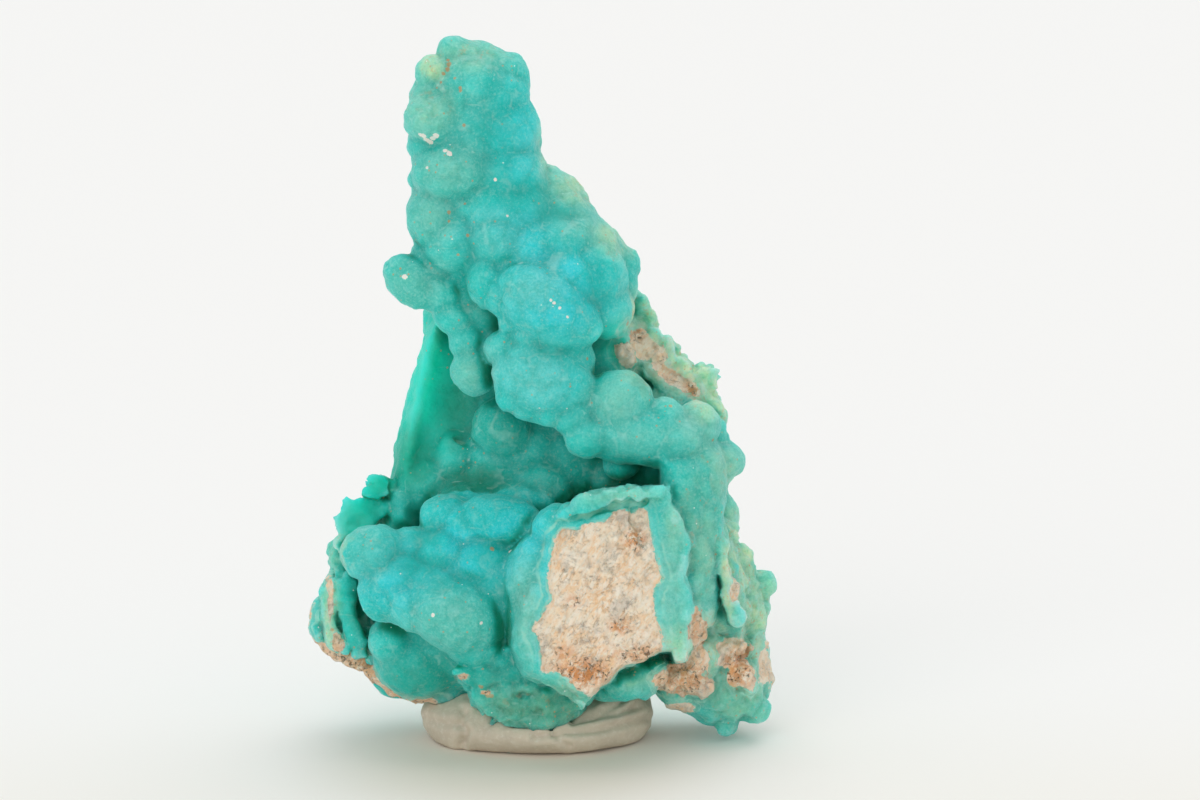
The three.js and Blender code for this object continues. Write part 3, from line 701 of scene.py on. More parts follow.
# Painted shade: deep green where the crust lies in shadow, in the cave, under the wing, plates and
# bulge, and low on the foot and hem.
DEEP_SHADE = [
    [-3.9, 34.4, 4.5, 3.5, 0.35, -4.0, 9.0],
    [-14.2, 31.0, 3.4, 4.4, 0.75, -3.6, 9.0],
    [-9.2, 36.6, 2.6, 5.6, 0.7, -3.0, 9.0],
    [-7.4, 27.8, 5.2, 3.2, 0.95, -4.0, 9.0],
    [1.0, 28.8, 8.6, 3.4, 0.3, -4.6, 9.0],
    [14.0, 27.6, 4.0, 2.6, 0.5, -4.0, 9.0],
    [-19.6, 14.6, 1.6, 3.0, 0.9, -6.0, 9.0],
    [11.8, 40.4, 1.8, 2.2, 0.5, -9.0, 4.0],
    [0.0, 3.4, 8.0, 2.8, 0.5, -20.0, 9.0],
    [-6.0, 6.4, 4.0, 2.6, 0.35, -20.0, 9.0],
    [-13.0, 6.6, 6.4, 2.8, 0.45, -20.0, 9.0],
    [-19.4, 24.4, 3.4, 2.6, 0.35, -4.0, 6.0],
    [-18.0, 28.0, 2.0, 1.8, 0.35, -4.0, 6.0],
    [-6.6, 48.6, 2.0, 2.6, 0.4, -5.0, 9.0],
    [21.4, 5.0, 4.0, 3.6, 0.3, -20.0, 9.0],
]

# Patches of brown stain on the rock and at its edges.
STAIN = [
    [4.8, 7.2, 3.4, 1.9, 1.0, -20.0, 0.0],
    [10.4, 9.4, 3.4, 1.2, 0.6, -20.0, 0.0],
    [8.8, 12.4, 1.3, 1.0, 0.9, -20.0, 0.0],
    [10.5, 22.0, 1.4, 1.4, 1.0, -20.0, 0.0],
    [2.8, 9.4, 1.3, 1.1, 0.7, -20.0, 0.0],
    [3.7, 15.2, 1.0, 0.8, 0.6, -20.0, 0.0],
    [16.2, 6.6, 3.6, 2.2, 0.75, -20.0, 4.0],
    [22.2, 7.6, 2.2, 2.4, 0.8, -20.0, 4.0],
    [17.6, 12.2, 1.6, 2.6, 0.5, -20.0, 4.0],
    [14.2, 41.2, 2.4, 2.2, 0.3, -20.0, 8.0],
    [10.8, 45.0, 1.4, 1.0, 0.7, -20.0, 8.0],
    [16.8, 38.6, 1.0, 1.0, 0.9, -20.0, 8.0],
    [-20.0, 8.0, 7.0, 3.4, 0.6, -20.0, 8.0],
    [-15.0, 4.8, 5.0, 1.6, 0.7, -20.0, 8.0],
    [-8.5, 6.6, 1.6, 0.9, 0.5, -20.0, 0.0],
    [-5.9, 5.0, 1.1, 0.6, 0.8, -20.0, 0.0],
    [-24.8, 11.6, 2.4, 3.4, 0.4, -20.0, 8.0],
    [0.0, 10.0, 20.0, 10.0, 0.5, 4.0, 20.0],
]

# Small marks on the visible front: across, up and radius. Each sits on the nearest point of
# the front that lies within SPOT_NEAR of it, and SPOT_PRICE weighs what lies farther off.
SPOT_NEAR = 0.3
SPOT_PRICE = 20
WHITE_SPOTS = [
    (-13.3, 66.9, 0.26), (-13.1, 66.6, 0.32), (-12.8, 66.3, 0.36), (-12.5, 66.1, 0.36),
    (-12.2, 66.2, 0.36), (-11.9, 66.5, 0.32), (-11.6, 66.7, 0.32), (-11.3, 66.9, 0.22),
    (-10.3, 65.3, 0.26), (-10.0, 65.1, 0.32), (-12.5, 63.5, 0.18), (-5.0, 62.3, 0.2),
    (-3.4, 58.0, 0.15), (-15.0, 51.3, 0.3), (-15.2, 51.5, 0.2), (1.2, 48.7, 0.16),
    (1.6, 48.4, 0.18), (2.1, 48.0, 0.18), (-3.4, 21.0, 0.22), (3.1, 47.0, 0.16),
    (-12.2, 13.6, 0.22), (-6.4, 12.6, 0.18),
]
RUST_SPOTS = [
    (-10.2, 74.9, 0.30), (-10.4, 74.4, 0.26), (-10.1, 75.5, 0.2), (-10.6, 74.0, 0.2),
    (-9.0, 71.8, 0.2), (-9.1, 72.3, 0.2), (-8.8, 68.1, 0.2), (-9.9, 58.4, 0.22),
    (-8.0, 55.8, 0.2), (-9.6, 73.4, 0.16), (-11.2, 73.0, 0.14), (-8.4, 59.2, 0.14),
    (-6.5, 5.5, 0.3), (-5.9, 5.0, 0.36), (-5.2, 4.4, 0.3), (5.5, 42.0, 0.18),
    (14.4, 37.0, 0.22), (9.9, 46.0, 0.28), (19.4, 33.0, 0.2), (-5.3, 21.3, 0.26),
    (-10.3, 57.6, 0.16), (-9.0, 53.6, 0.16), (-8.2, 50.8, 0.14), (-15.6, 52.2, 0.14),
]

# The putty's rounds, as lobes are given.
PUTTY = [
    [0.2, 1.8, -1.6, 11.6, 3.6, 9.6, 0],
    [-8.6, 2.2, -1.4, 4.4, 3.6, 5.6, -6],
    [-3.0, 3.2, 0.0, 8.6, 3.8, 8.2, 0],
    [6.8, 3.2, -0.8, 5.8, 3.8, 6.6, 8],
]
# Folds of the putty, as lines on the elevation: across and up, depth and half width.
PUTTY_FOLDS = [
    ([[-8.4, 2.9], [-8.8, 1.6], [-8.2, 0.6], [-8.6, -0.6]], 0.55, 0.4),
    ([[-0.6, 0.2], [2.6, 0.6], [6.4, 0.9], [9.4, 1.7], [11.8, 2.2]], 0.45, 0.35),
    ([[3.6, 1.7], [6.0, 2.3], [8.6, 2.7], [10.6, 3.4]], 0.5, 0.35),
    ([[7.0, 3.0], [8.8, 3.7], [9.6, 4.6]], 0.4, 0.3),
    ([[1.2, 1.1], [2.0, 0.0], [3.2, -0.8]], 0.3, 0.3),
    ([[-12.6, 2.2], [-11.0, 1.6], [-9.2, 1.5]], 0.3, 0.35),
]
FOLD_FRONT = 1.0         # the folds are pressed into what lies in front of this depth
# The low swelling at both sides of a fold: share of its depth, place and width in its widths.
FOLD_SWELLING = (0.35, 2.4, 1.2)
PUTTY_BLEND = 2.5        # how softly the rounds run together
PUTTY_ROUGH = (0.35, 0.03)      # how uneven they are: share of the wave and of the grit
PUTTY_WAVE_SIZE = 3.5
PUTTY_GRIT_SIZE = 1.2
PUTTY_SKIN = (0.03, 1.4)        # how far its skin's grain stands out, and its size
PRINT_INSET = 0.05       # the putty reaches this far into the specimen, so that no gap shows
PRINT_BLEND = 0.12       # how softly the specimen's print is cut
LEVEL_BLEND = 0.5        # the putty's underside is cut this softly

# ---- colours ----

AQUA = 0x24CFC6
LIGHT_AQUA = 0x5CD6CE
BLUE_AQUA = 0x38E0EE
SHADE_TURQUOISE = 0x16BEB2
CREASE_SHADE_TEAL = 0x0CB6AC
DARK_GRAIN = 0x1CAE9F
PALE_GREEN = 0xD8E8B4
LIGHT_JADE = 0x22F2DA
PEARL_AQUA = 0x94D4C3
DEEP_JADE = 0x0ED8BE
SHADE_GREEN = 0x0C8666
FROST = 0xB8EADF
RIM_HIGHLIGHT = 0xD2F4EC
BAND_PALE = 0xA8E2D2
RUST_LIGHT = 0xCFA272
RUST = 0xC8A070
GLINT_WHITE = 0xF2F6F0
CHALK = 0xEFEAE2
CREAM = 0xFBE9CF
PINKISH = 0xFCD6AC
STONE_WHITE = 0xFFF8EA
STONE_GREY = 0xD2C9BC
OCHRE = 0xE2AE74
STAIN_BROWN = 0xE49C60
PIT_BROWN = 0x6B4A35
SHEEN = 0xA8ECE4
PUTTY_GREY = 0xC9BDAA
PUTTY_CREAM = 0xD6CAB6
PUTTY_SPECK_AND_SHADE = 0x9F9A8C

FLOOR_RADIUS = 6000
FLOOR_NEAR = 0xF4F2EC
FLOOR_FAR = 0xF7F7F6
FLOOR_FADE = (-60, 30)   # the near colour becomes the far one between these depths
FLOOR_SHADOW = 0xEBE4D8    # the floor is this colour round the putty: a painted shadow
FLOOR_SHADOW_AT = (-3.0, -15.0, 0.0)
FLOOR_SHADOW_REACH = (6.0, 28.0)  # from full strength to none
WORLD_TINT = (1.0, 1.0, 0.99, 1.0)
WORLD_STRENGTH = 0.66
# Soft lights: direction they come from, strength, and how wide they look from the piece.
LIGHTS = [
    ("overhead", (0.15, 0.45, 1.0), 0.85, 60),
    ("front", (-0.45, -1.0, 0.6), 0.58, 50),
]
LIGHT_AWAY = 0.5         # how far off the lights are put, in metres: their light is the same
CLIP = (10, 20000)       # the camera sees from here to there

# ---- the front elevation ----

def place(across, up, depth):
    """The place in space, in mm, of a point of the elevation that lies at the given depth (Y)."""
    cos, sin = math.cos(VIEW_TILT), math.sin(VIEW_TILT)
    right, rise = across - VIEW_ACROSS, up - VIEW_UP
    height = rise * (1 + depth * cos / VIEW_DISTANCE) - depth * sin
    height /= cos + rise * sin / VIEW_DISTANCE
    away = depth * cos - height * sin
    return np.array([
        VIEW_ACROSS + right * (1 + away / VIEW_DISTANCE), depth, VIEW_UP / cos + height])


def elevation(x, y, z):
    """The way back: across, up and the distance away from the elevation's plane."""
    cos, sin = math.cos(VIEW_TILT), math.sin(VIEW_TILT)
    height = z - VIEW_UP / cos
    away = y * cos - height * sin
    nearer = VIEW_DISTANCE / (VIEW_DISTANCE + away)
    across = VIEW_ACROSS + (x - VIEW_ACROSS) * nearer
    up = VIEW_UP + (y * sin + height * cos) * nearer
    return across, up, away


# ---- distances ----

def soft_min(a, b, soft):
    """The lower of two distances, rounded over where they differ by less than soft."""
    near = np.maximum(soft - np.abs(a - b), 0) / soft
    return np.minimum(a, b) - near * near * soft / 4


def ball_distance(x, y, z, half, lean):
    """Distance to a stretched ball at the origin, leaned in the XZ plane: the scaled radius
    less one, over the length of its slope."""
    cos, sin = math.cos(lean), math.sin(lean)
    p, q = x * cos + z * sin, z * cos - x * sin
    radius = np.sqrt((p / half[0]) ** 2 + (y / half[1]) ** 2 + (q / half[2]) ** 2)
    slope = np.sqrt((p / half[0] ** 2) ** 2 + (y / half[1] ** 2) ** 2 + (q / half[2] ** 2) ** 2)
    return radius * (radius - 1) / (slope + 1e-6)


def rod_distance(x, y, z, start, end, radius):
    """Distance to a rod with round ends: to the nearest point of its middle line, less the
    radius."""
    along = end - start
    t = (x - start[0]) * along[0] + (y - start[1]) * along[1] + (z - start[2]) * along[2]
    t = np.clip(t / (along @ along), 0, 1)
    dx, dy, dz = (v - s - t * a for v, s, a in zip((x, y, z), start, along))
    return np.sqrt(dx * dx + dy * dy + dz * dz) - radius


def outline_distance(across, up, outline):
    """Distance to a closed outline, below 0 inside: the nearest of its edges, with the sign
    from how often a level line to the right crosses them."""
    nearest = np.full(across.shape, 1e9)
    crossings = np.zeros(across.shape, int)
    ends = outline[1:] + outline[:1]
    for (ax, ay), (bx, by) in zip(outline, ends):
        ex, ey = bx - ax, by - ay
        px, py = across - ax, up - ay
        t = np.clip((px * ex + py * ey) / (ex * ex + ey * ey), 0, 1)
        nearest = np.minimum(nearest, (px - t * ex) ** 2 + (py - t * ey) ** 2)
        spans = (ay > up) != (by > up)
        crossings += spans & (px < ex * (up - ay) / (ey if ey else 1e-9))
    return np.sqrt(nearest) * np.where(crossings % 2, -1, 1)


def line_distance(across, up, line):
    """Distance on the elevation to a line of straight stretches: to the nearest of them."""
    nearest = np.full(across.shape, 1e9)
    for (ax, ay), (bx, by) in zip(line, line[1:]):
        ex, ey = bx - ax, by - ay
        px, py = across - ax, up - ay
        t = np.clip((px * ex + py * ey) / (ex * ex + ey * ey), 0, 1)
        nearest = np.minimum(nearest, (px - t * ex) ** 2 + (py - t * ey) ** 2)
    return np.sqrt(nearest)


# ---- grain: repeatable uneven numbers ----

def lattice(i, j, k, seed):
    """A number from -1 to 1 for each whole-number point of a lattice, by mixing its bits."""
    h = (i * 73856093) ^ (j * 19349663) ^ (k * 83492791) ^ (seed * 40503)
    h = (h ^ (h >> 13)) * 1274126177
    h = h ^ (h >> 16)
    return (h & 0xFFFF) / 32767.5 - 1.0


def grain(x, y, z, size, seed):
    """Smooth uneven numbers from -1 to 1: the lattice's numbers, eased between its points."""
    corner, ease = [], []
    for v in (x / size, y / size, z / size):
        whole = np.floor(v)
        t = v - whole
        corner.append(whole.astype(np.int64))
        ease.append(t * t * (3 - 2 * t))
    total = 0
    for a in (0, 1):
        for b in (0, 1):
            for c in (0, 1):
                weight = (ease[0] if a else 1 - ease[0]) * (ease[1] if b else 1 - ease[1])
                weight = weight * (ease[2] if c else 1 - ease[2])
                total = total + weight * lattice(corner[0] + a, corner[1] + b, corner[2] + c, seed)
    return total


def layered_grain(x, y, z, size, seed, layers=3, fade=0.5):
    """Grain on grain, each layer half as coarse and fainter."""
    total, strength = 0, 1.0
    for layer in range(layers):
        total = total + strength * grain(x, y, z, size / 2 ** layer, seed + layer)
        strength *= fade
    return total


def caps(x, y, z, size, reach, seed):
    """Rounded caps from 0 to 1, and how far in mm each point is from the edges between them:
    one ball in each cell of a lattice, shaken off its middle, and the height of the nearest
    ball over a level through its middle."""
    i, j, k = (np.floor(v / size).astype(np.int64) for v in (x, y, z))
    nearest = np.full(x.shape, 9.0)
    second = nearest
    for a in (-1, 0, 1):
        for b in (-1, 0, 1):
            for c in (-1, 0, 1):
                cell = (i + a, j + b, k + c)
                middle = [(n + 0.5 + SHAKE * lattice(*cell, seed + axis)) * size
                          for axis, n in enumerate(cell)]
                off = sum((v - m) ** 2 for v, m in zip((x, y, z), middle))
                off = off / (reach * size) ** 2
                second = np.minimum(second, np.maximum(nearest, off))
                nearest = np.minimum(nearest, off)
    edge = (np.sqrt(second) - np.sqrt(nearest)) * reach * size
    return np.sqrt(np.clip(1 - nearest, 0, 1)), edge


# ---- a solid as a block of distances ----

class Field:
    """Distances in mm to a growing solid, below 0 inside it, at the points of a grid."""

    def __init__(self, low, high, step):
        self.low, self.step = np.array(low, float), step
        self.count = np.ceil((np.array(high) - self.low) / step).astype(int) + 1
        self.value = np.full(self.count, FAR, np.float32)
        self.seam = np.full(self.count, SEAM_FAR, np.float32)

    def part(self, low, high):
        """The index of the block between two corners, and its points' X, Y and Z."""
        first = np.floor((np.array(low) - self.low) / self.step).astype(int)
        last = np.ceil((np.array(high) - self.low) / self.step).astype(int) + 1
        first, last = np.clip(first, 0, self.count), np.clip(last, 0, self.count)
        index = tuple(slice(a, b) for a, b in zip(first, last))
        axes = [self.low[k] + self.step * np.arange(first[k], last[k]) for k in range(3)]
        return index, np.ix_(*axes)

    def join(self, index, new, soft, seam=None, crisp=1.0):
        """Adds a shape. The seam is how much farther the second nearest shape is than the
        nearest, times crisp, and is left as it is when none is given."""
        old = self.value[index]
        if seam is not None:
            nearest = np.where(new < old, seam, self.seam[index])
            self.seam[index] = np.minimum(nearest, crisp * np.abs(new - old))
        self.value[index] = soft_min(old, new, soft)

    def cut(self, index, shape, soft):
        """Takes a shape away."""
        self.value[index] = -soft_min(-self.value[index], shape, soft)

    def grains(self, size, seed):
        """Grain at every point of the grid."""
        _, (x, y, z) = self.part(self.low, self.low + self.step * (self.count - 1))
        return grain(x, y, z, size, seed).astype(np.float32)

    def lobes(self, rows, soft, wobble, jag=0.0, crisp=1.0):
        """Adds stretched balls, each uneven by the wave and, for ragged ones, the grit."""
        for across, up, depth, half_width, half_height, half_depth, lean in rows:
            centre = place(across, up, depth)
            reach = max(half_width, half_height, half_depth) + MARGIN
            index, (x, y, z) = self.part(centre - reach, centre + reach)
            new = ball_distance(x - centre[0], y - centre[1], z - centre[2],
                                (half_width, half_depth, half_height), math.radians(lean))
            new = new + INSET + wobble * self.wave[index] + jag * self.grit[index]
            self.join(index, new, soft, SEAM_FAR, crisp)

    def group(self, rows, wobble, jag=0.0):
        """Adds lobes that grew as one: their valleys are filled before they join the rest."""
        centres = np.array([place(*row[:3]) for row in rows])
        reach = max(max(row[3:6]) for row in rows) + MARGIN
        index, _ = self.part(centres.min(axis=0) - reach, centres.max(axis=0) + reach)
        first = np.array([piece.start for piece in index])
        last = np.array([piece.stop - 1 for piece in index])
        own = Field(self.low + self.step * first, self.low + self.step * last - 1e-6, self.step)
        own.wave, own.grit = self.wave[index], self.grit[index]
        own.lobes(rows, LOBE_BLEND, wobble, jag)
        own.fill_valleys(*GROUP_FILL)
        self.join(index, own.value, GROUP_BLEND, own.seam)

    def slabs(self, rows, soft):
        """Adds flat plates: an outline of the elevation carried back from a leaning face."""
        for outline, depth, thickness, lean_across, lean_up, rounding, ragged in rows:
            middle = np.mean(outline, axis=0)
            corners = np.array([place(a, u, depth + d) for a, u in outline
                                for d in (-SLAB_ROOM, thickness + SLAB_ROOM)])
            index, (x, y, z) = self.part(corners.min(axis=0) - MARGIN, corners.max(axis=0) + MARGIN)
            across, up, away = elevation(x, y, z)
            face = elevation(*place(*middle, depth))[2]
            face = face + lean_across * (across - middle[0]) + lean_up * (up - middle[1])
            through = np.abs(away - face - thickness / 2) - thickness / 2
            sideways = outline_distance(across, up, outline) + ragged * self.grit[index]
            through = through + FACE_RAG * ragged * self.grit[index]
            self.join(index, rounded_meet(sideways, through, rounding), soft, SEAM_FAR)

    def blurred(self, reach):
        """The distances blurred: a running mean along each axis, three times over."""
        width = max(int(round(reach / self.step)) | 1, 3)
        out = np.clip(self.value, -reach, reach)
        for axis in (0, 1, 2) * 2:
            sides = [(0, 0)] * 3
            sides[axis] = (width // 2 + 1, width // 2)
            total = np.cumsum(np.pad(out, sides, mode="edge"), axis=axis, dtype=np.float64)
            ahead = np.take(total, range(width, total.shape[axis]), axis=axis)
            behind = np.take(total, range(total.shape[axis] - width), axis=axis)
            out = ((ahead - behind) / width).astype(np.float32)
        return out

    def fill_valleys(self, reach, inset):
        """Fills the valleys between lobes with the blurred shape, less a crease along them."""
        filled = self.blurred(reach)
        filled = np.where(filled < FILL_SHARE * reach, filled + inset, FAR)
        crease = CREASE_DEPTH * np.exp(-(self.seam / CREASE_WIDTH) ** 2)
        self.value = np.minimum(self.value, filled) + crease

    def mend(self):
        """Fills the few grid points round which the surface would touch itself: where only
        the opposite corners of a grid square, or of a grid cube, are inside."""
        shape = self.value.shape
        inside = self.value < 0
        for _ in range(MEND_ROUNDS):
            fill = np.zeros(shape, bool)
            for a, b in ((0, 1), (1, 2), (0, 2)):
                views = {}
                for i in (0, 1):
                    for j in (0, 1):
                        cut = [slice(None)] * 3
                        cut[a] = slice(i, shape[a] - 1 + i)
                        cut[b] = slice(j, shape[b] - 1 + j)
                        views[i, j] = tuple(cut)
                p, q = inside[views[0, 0]], inside[views[1, 0]]
                bad = (p == inside[views[1, 1]]) & (q == inside[views[0, 1]]) & (p != q)
                for view in views.values():
                    fill[view] |= bad
            steps = [(i, j, k) for i in (0, 1) for j in (0, 1) for k in (0, 1)]
            views = {s: tuple(slice(v, n - 1 + v) for v, n in zip(s, shape)) for s in steps}
            total = sum(inside[v].astype(np.uint8) for v in views.values())
            for s in steps[:4]:
                other = tuple(1 - v for v in s)
                same = inside[views[s]] == inside[views[other]]
                pair = np.where(inside[views[s]], total == 2, total == 6) & same
                for view in views.values():
                    fill[view] |= pair
            change = fill & ~inside
            if not change.any():
                break
            inside |= change
            self.value[change] = -MEND_DEPTH * self.step

    def rod(self, start, end, radius):
        """The block and the distances of a rod between two points of the elevation."""
        a, b = place(*start), place(*end)
        reach = radius + MARGIN
        index, (x, y, z) = self.part(np.minimum(a, b) - reach, np.maximum(a, b) + reach)
        return index, rod_distance(x, y, z, a, b, radius)

    def sample(self, points, values=None):
        """Values at any points, eased between the eight grid points round each."""
        values = self.value if values is None else values
        v = (points - self.low) / self.step
        v = np.clip(v, 0, self.count - 1.001)
        whole = v.astype(int)
        t = v - whole
        i, j, k = whole.T
        total = 0
        for a in (0, 1):
            for b in (0, 1):
                for c in (0, 1):
                    weight = (t[:, 0] if a else 1 - t[:, 0]) * (t[:, 1] if b else 1 - t[:, 1])
                    weight = weight * (t[:, 2] if c else 1 - t[:, 2])
                    total = total + weight * values[i + a, j + b, k + c]
        return total

    def slope(self, points):
        """The direction in which the distance grows, from samples on both sides."""
        out = np.empty_like(points)
        for k in range(3):
            shift = np.zeros(3)
            shift[k] = self.step
            out[:, k] = self.sample(points + shift) - self.sample(points - shift)
        return out / (np.linalg.norm(out, axis=1, keepdims=True) + 1e-9)

    def settle(self, points, rounds=3):
        """Moves points down the slope onto the surface."""
        for _ in range(rounds):
            move = np.clip(self.sample(points), -self.step, self.step)
            points = points - move[:, None] * self.slope(points)
        return points

    def surface_seeds(self, spacing, rng, low, high):
        """Points spread over the surface: a shaken lattice, the points near the surface
        settled onto it, and one kept in each cell."""
        axes = [np.arange(a, b, spacing) for a, b in zip(low, high)]
        points = np.stack(np.meshgrid(*axes, indexing="ij"), -1).reshape(-1, 3)
        points = points + rng.uniform(-SHAKE, SHAKE, points.shape) * spacing
        points = points[np.abs(self.sample(points)) < SEED_NEAR * spacing]
        points = self.settle(points, 8)
        points = points[np.abs(self.sample(points)) < SEED_OFF]
        cell = np.floor(points / (SEED_CELL * spacing)).astype(int)
        _, first = np.unique(cell, axis=0, return_index=True)
        return points[np.sort(first)]

    def bubbles(self, points, radii, rise, soft):
        """Small balls that stand out of the surface at the points, by rise of each."""
        centres = points - self.slope(points) * (radii * (1 - rise))[:, None]
        for centre, radius in zip(centres, radii):
            reach = radius + BUBBLE_ROOM
            index, (x, y, z) = self.part(centre - reach, centre + reach)
            distance = np.sqrt((x - centre[0]) ** 2 + (y - centre[1]) ** 2 + (z - centre[2]) ** 2)
            self.join(index, distance - radius, soft)


def skin(field):
    """The zero surface as points and four-sided faces: one point in each grid cell that it
    crosses, at the mean of the crossings of the cell's edges, and one face across each grid
    edge that it crosses, between the points of the four cells round that edge."""
    value = field.value
    inside = value < 0
    cells = np.array(value.shape) - 1
    corner_sum = np.zeros(cells, np.uint8)
    steps = [(a, b, c) for a in (0, 1) for b in (0, 1) for c in (0, 1)]
    for a, b, c in steps:
        corner_sum += inside[a:a + cells[0], b:b + cells[1], c:c + cells[2]]
    crossed = np.argwhere((corner_sum > 0) & (corner_sum < 8))
    number = np.full(cells, -1, np.int32)
    number[tuple(crossed.T)] = np.arange(len(crossed))
    corner = {s: value[tuple((crossed + s).T)].astype(float) for s in steps}
    total, hits = np.zeros((len(crossed), 3)), np.zeros(len(crossed))
    for axis in range(3):
        for s in steps:
            if s[axis]:
                continue
            e = tuple(1 if k == axis else s[k] for k in range(3))
            a, b = corner[s], corner[e]
            cross = (a < 0) != (b < 0)
            t = np.where(cross, a / np.where(cross, a - b, 1), 0)
            at = np.tile(np.array(s, float), (len(a), 1))
            at[:, axis] = t
            total += np.where(cross[:, None], at, 0)
            hits += cross
    points = field.low + field.step * (crossed + total / hits[:, None])
    faces = []
    for axis in range(3):
        a, b = (axis + 1) % 3, (axis + 2) % 3
        low = [slice(1, -1)] * 3
        high = [slice(1, -1)] * 3
        low[axis], high[axis] = slice(0, -1), slice(1, None)
        start, end = inside[tuple(low)], inside[tuple(high)]
        for solid_first in (True, False):
            edge = np.argwhere((start != end) & (start == solid_first))
            first = edge + [0 if k == axis else 1 for k in range(3)]
            ring = [(-1, -1), (0, -1), (0, 0), (-1, 0)]
            if not solid_first:
                ring = ring[::-1]
            quad = []
            for da, db in ring:
                at = first.copy()
                at[:, a] += da
                at[:, b] += db
                quad.append(number[tuple(at.T)])
            faces.append(np.stack(quad, 1))
    return points, np.concatenate(faces)


def largest_piece(points, faces):
    """Only the points and faces of the largest joined piece: the lowest number spreads over
    each piece until it settles."""
    label = np.arange(len(points))
    while True:
        low = label[faces].min(axis=1)
        new = label.copy()
        np.minimum.at(new, faces.ravel(), np.repeat(low, 4))
        new = new[new]
        if np.array_equal(new, label):
            break
        label = new
    keep_label = np.bincount(label).argmax()
    keep = label == keep_label
    renumber = np.cumsum(keep) - 1
    return points[keep], renumber[faces[keep[faces[:, 0]]]]


# ---- the specimen's solid ----

def face_away():
    """How far behind the elevation's plane the broken face of the block stands."""
    return float(elevation(*place(*FACE_MIDDLE, FACE_DEPTH))[2])


def rounded_meet(a, b, rounding):
    """Distance to what two shapes share, with the edge where they meet rounded."""
    a, b = a + rounding, b + rounding
    outside = np.hypot(np.maximum(a, 0), np.maximum(b, 0))
    return outside + np.minimum(np.maximum(a, b), 0) - rounding


def block_distance(x, y, z):
    """Distance to the block: its outline on the elevation, carried back from its face, with
    its edges rounded more on the left than on the right."""
    across, up, away = elevation(x, y, z)
    sideways = outline_distance(across, up, BLOCK_OUTLINE)
    through = np.abs(away - face_away() - BLOCK_THICKNESS / 2) - BLOCK_THICKNESS / 2
    return rounded_meet(sideways, through, np.interp(across, BLOCK_SPAN, BLOCK_ROUNDING))


def block_part(field):
    """The part of a field's grid that the block fills."""
    corners = np.array([place(a, u, d) for a, u in BLOCK_OUTLINE
                        for d in (FACE_DEPTH - BLOCK_ROOM,
                                  FACE_DEPTH + BLOCK_THICKNESS + BLOCK_ROOM)])
    return field.part(corners.min(axis=0) - MARGIN, corners.max(axis=0) + MARGIN)


def grow_crust(rng):
    """The crust as it grew: the core and the wing with the trough cut in them, the lobes of the
    back and of the front, the column, the crisp domes, low bubbles all over, then the plates
    and flakes, the block and the plates along its edge."""
    crust = Field(GRID_LOW, GRID_HIGH, STEP)
    crust.wave = crust.grains(WAVE_SIZE, SEED["wave"])
    crust.grit = crust.grains(GRIT_SIZE, SEED["grit"])
    crust.lobes(CORE, CORE_BLEND, WOBBLE)
    crust.lobes(WING, WING_BLEND, WOBBLE)
    start, end, radius, soft = TROUGH
    index, trough = crust.rod(start, end, radius)
    crust.cut(index, trough, soft)
    crust.seam[:] = SEAM_FAR
    crust.lobes(BACK, BACK_BLEND, WOBBLE)
    for rows in (RECESS, SPIRE, BULGE, BRANCH, SHIELD, BROW, RIGHT_END, SHELF, SHELF_DOME, HEM,
                 SHELL_BED):
        crust.group(rows, WOBBLE)
    for rows in (FOOT, FLANK):
        crust.group(rows, WOBBLE, ROUGH)
    crust.lobes(BLOCK_SIDE, LOBE_BLEND, WOBBLE)
    crust.slabs(COLUMN, COLUMN_BLEND)
    crust.fill_valleys(*WHOLE_FILL)
    crust.lobes(DOMES, DOME_BLEND, WOBBLE, crisp=DOME_CRISP)
    for spacing, small, large, low, high, soft, side in BUBBLES:
        points = crust.surface_seeds(spacing, rng, GRID_LOW, GRID_HIGH)
        points = points[points[:, 1] > side]
        in_wing = np.linalg.norm((points - place(*WING_MIDDLE)) / WING_REACH, axis=1) < 1
        points = points[~in_wing]
        radii = rng.uniform(small, large, len(points))
        crust.bubbles(points, radii, rng.uniform(low, high, len(points)), soft)
    for rows in (PLATE, FLAKES):
        crust.lobes(rows, PLATE_BLEND, WOBBLE, JAG)
    crust.slabs(CRUST_SLABS, SLAB_BLEND)
    index, (x, y, z) = block_part(crust)
    uneven = BLOCK_ROUGH[0] * crust.grit[index] + BLOCK_ROUGH[1] * crust.wave[index]
    crust.join(index, block_distance(x, y, z) + uneven, BLOCK_BLEND, SEAM_FAR)
    crust.slabs(BLOCK_SLABS, EDGE_BLEND)
    return crust


def grow_stone(crust):
    """The bare rock that stands out of the crust: rough lumps, and rims made of rods from
    point to point."""
    stone = Field(GRID_LOW, GRID_HIGH, STEP)
    stone.wave, stone.grit = crust.wave, crust.grit
    stone.lobes(ROCK_LUMPS, STONE_BLEND, *STONE_ROUGH)
    for line, radius in ROCK_RIMS:
        for start, end in zip(line, line[1:]):
            index, rim = stone.rod(start, end, radius)
            rim = rim + RIM_ROUGH[0] * stone.wave[index] + RIM_ROUGH[1] * stone.grit[index]
            stone.join(index, rim, STONE_BLEND)
    return stone


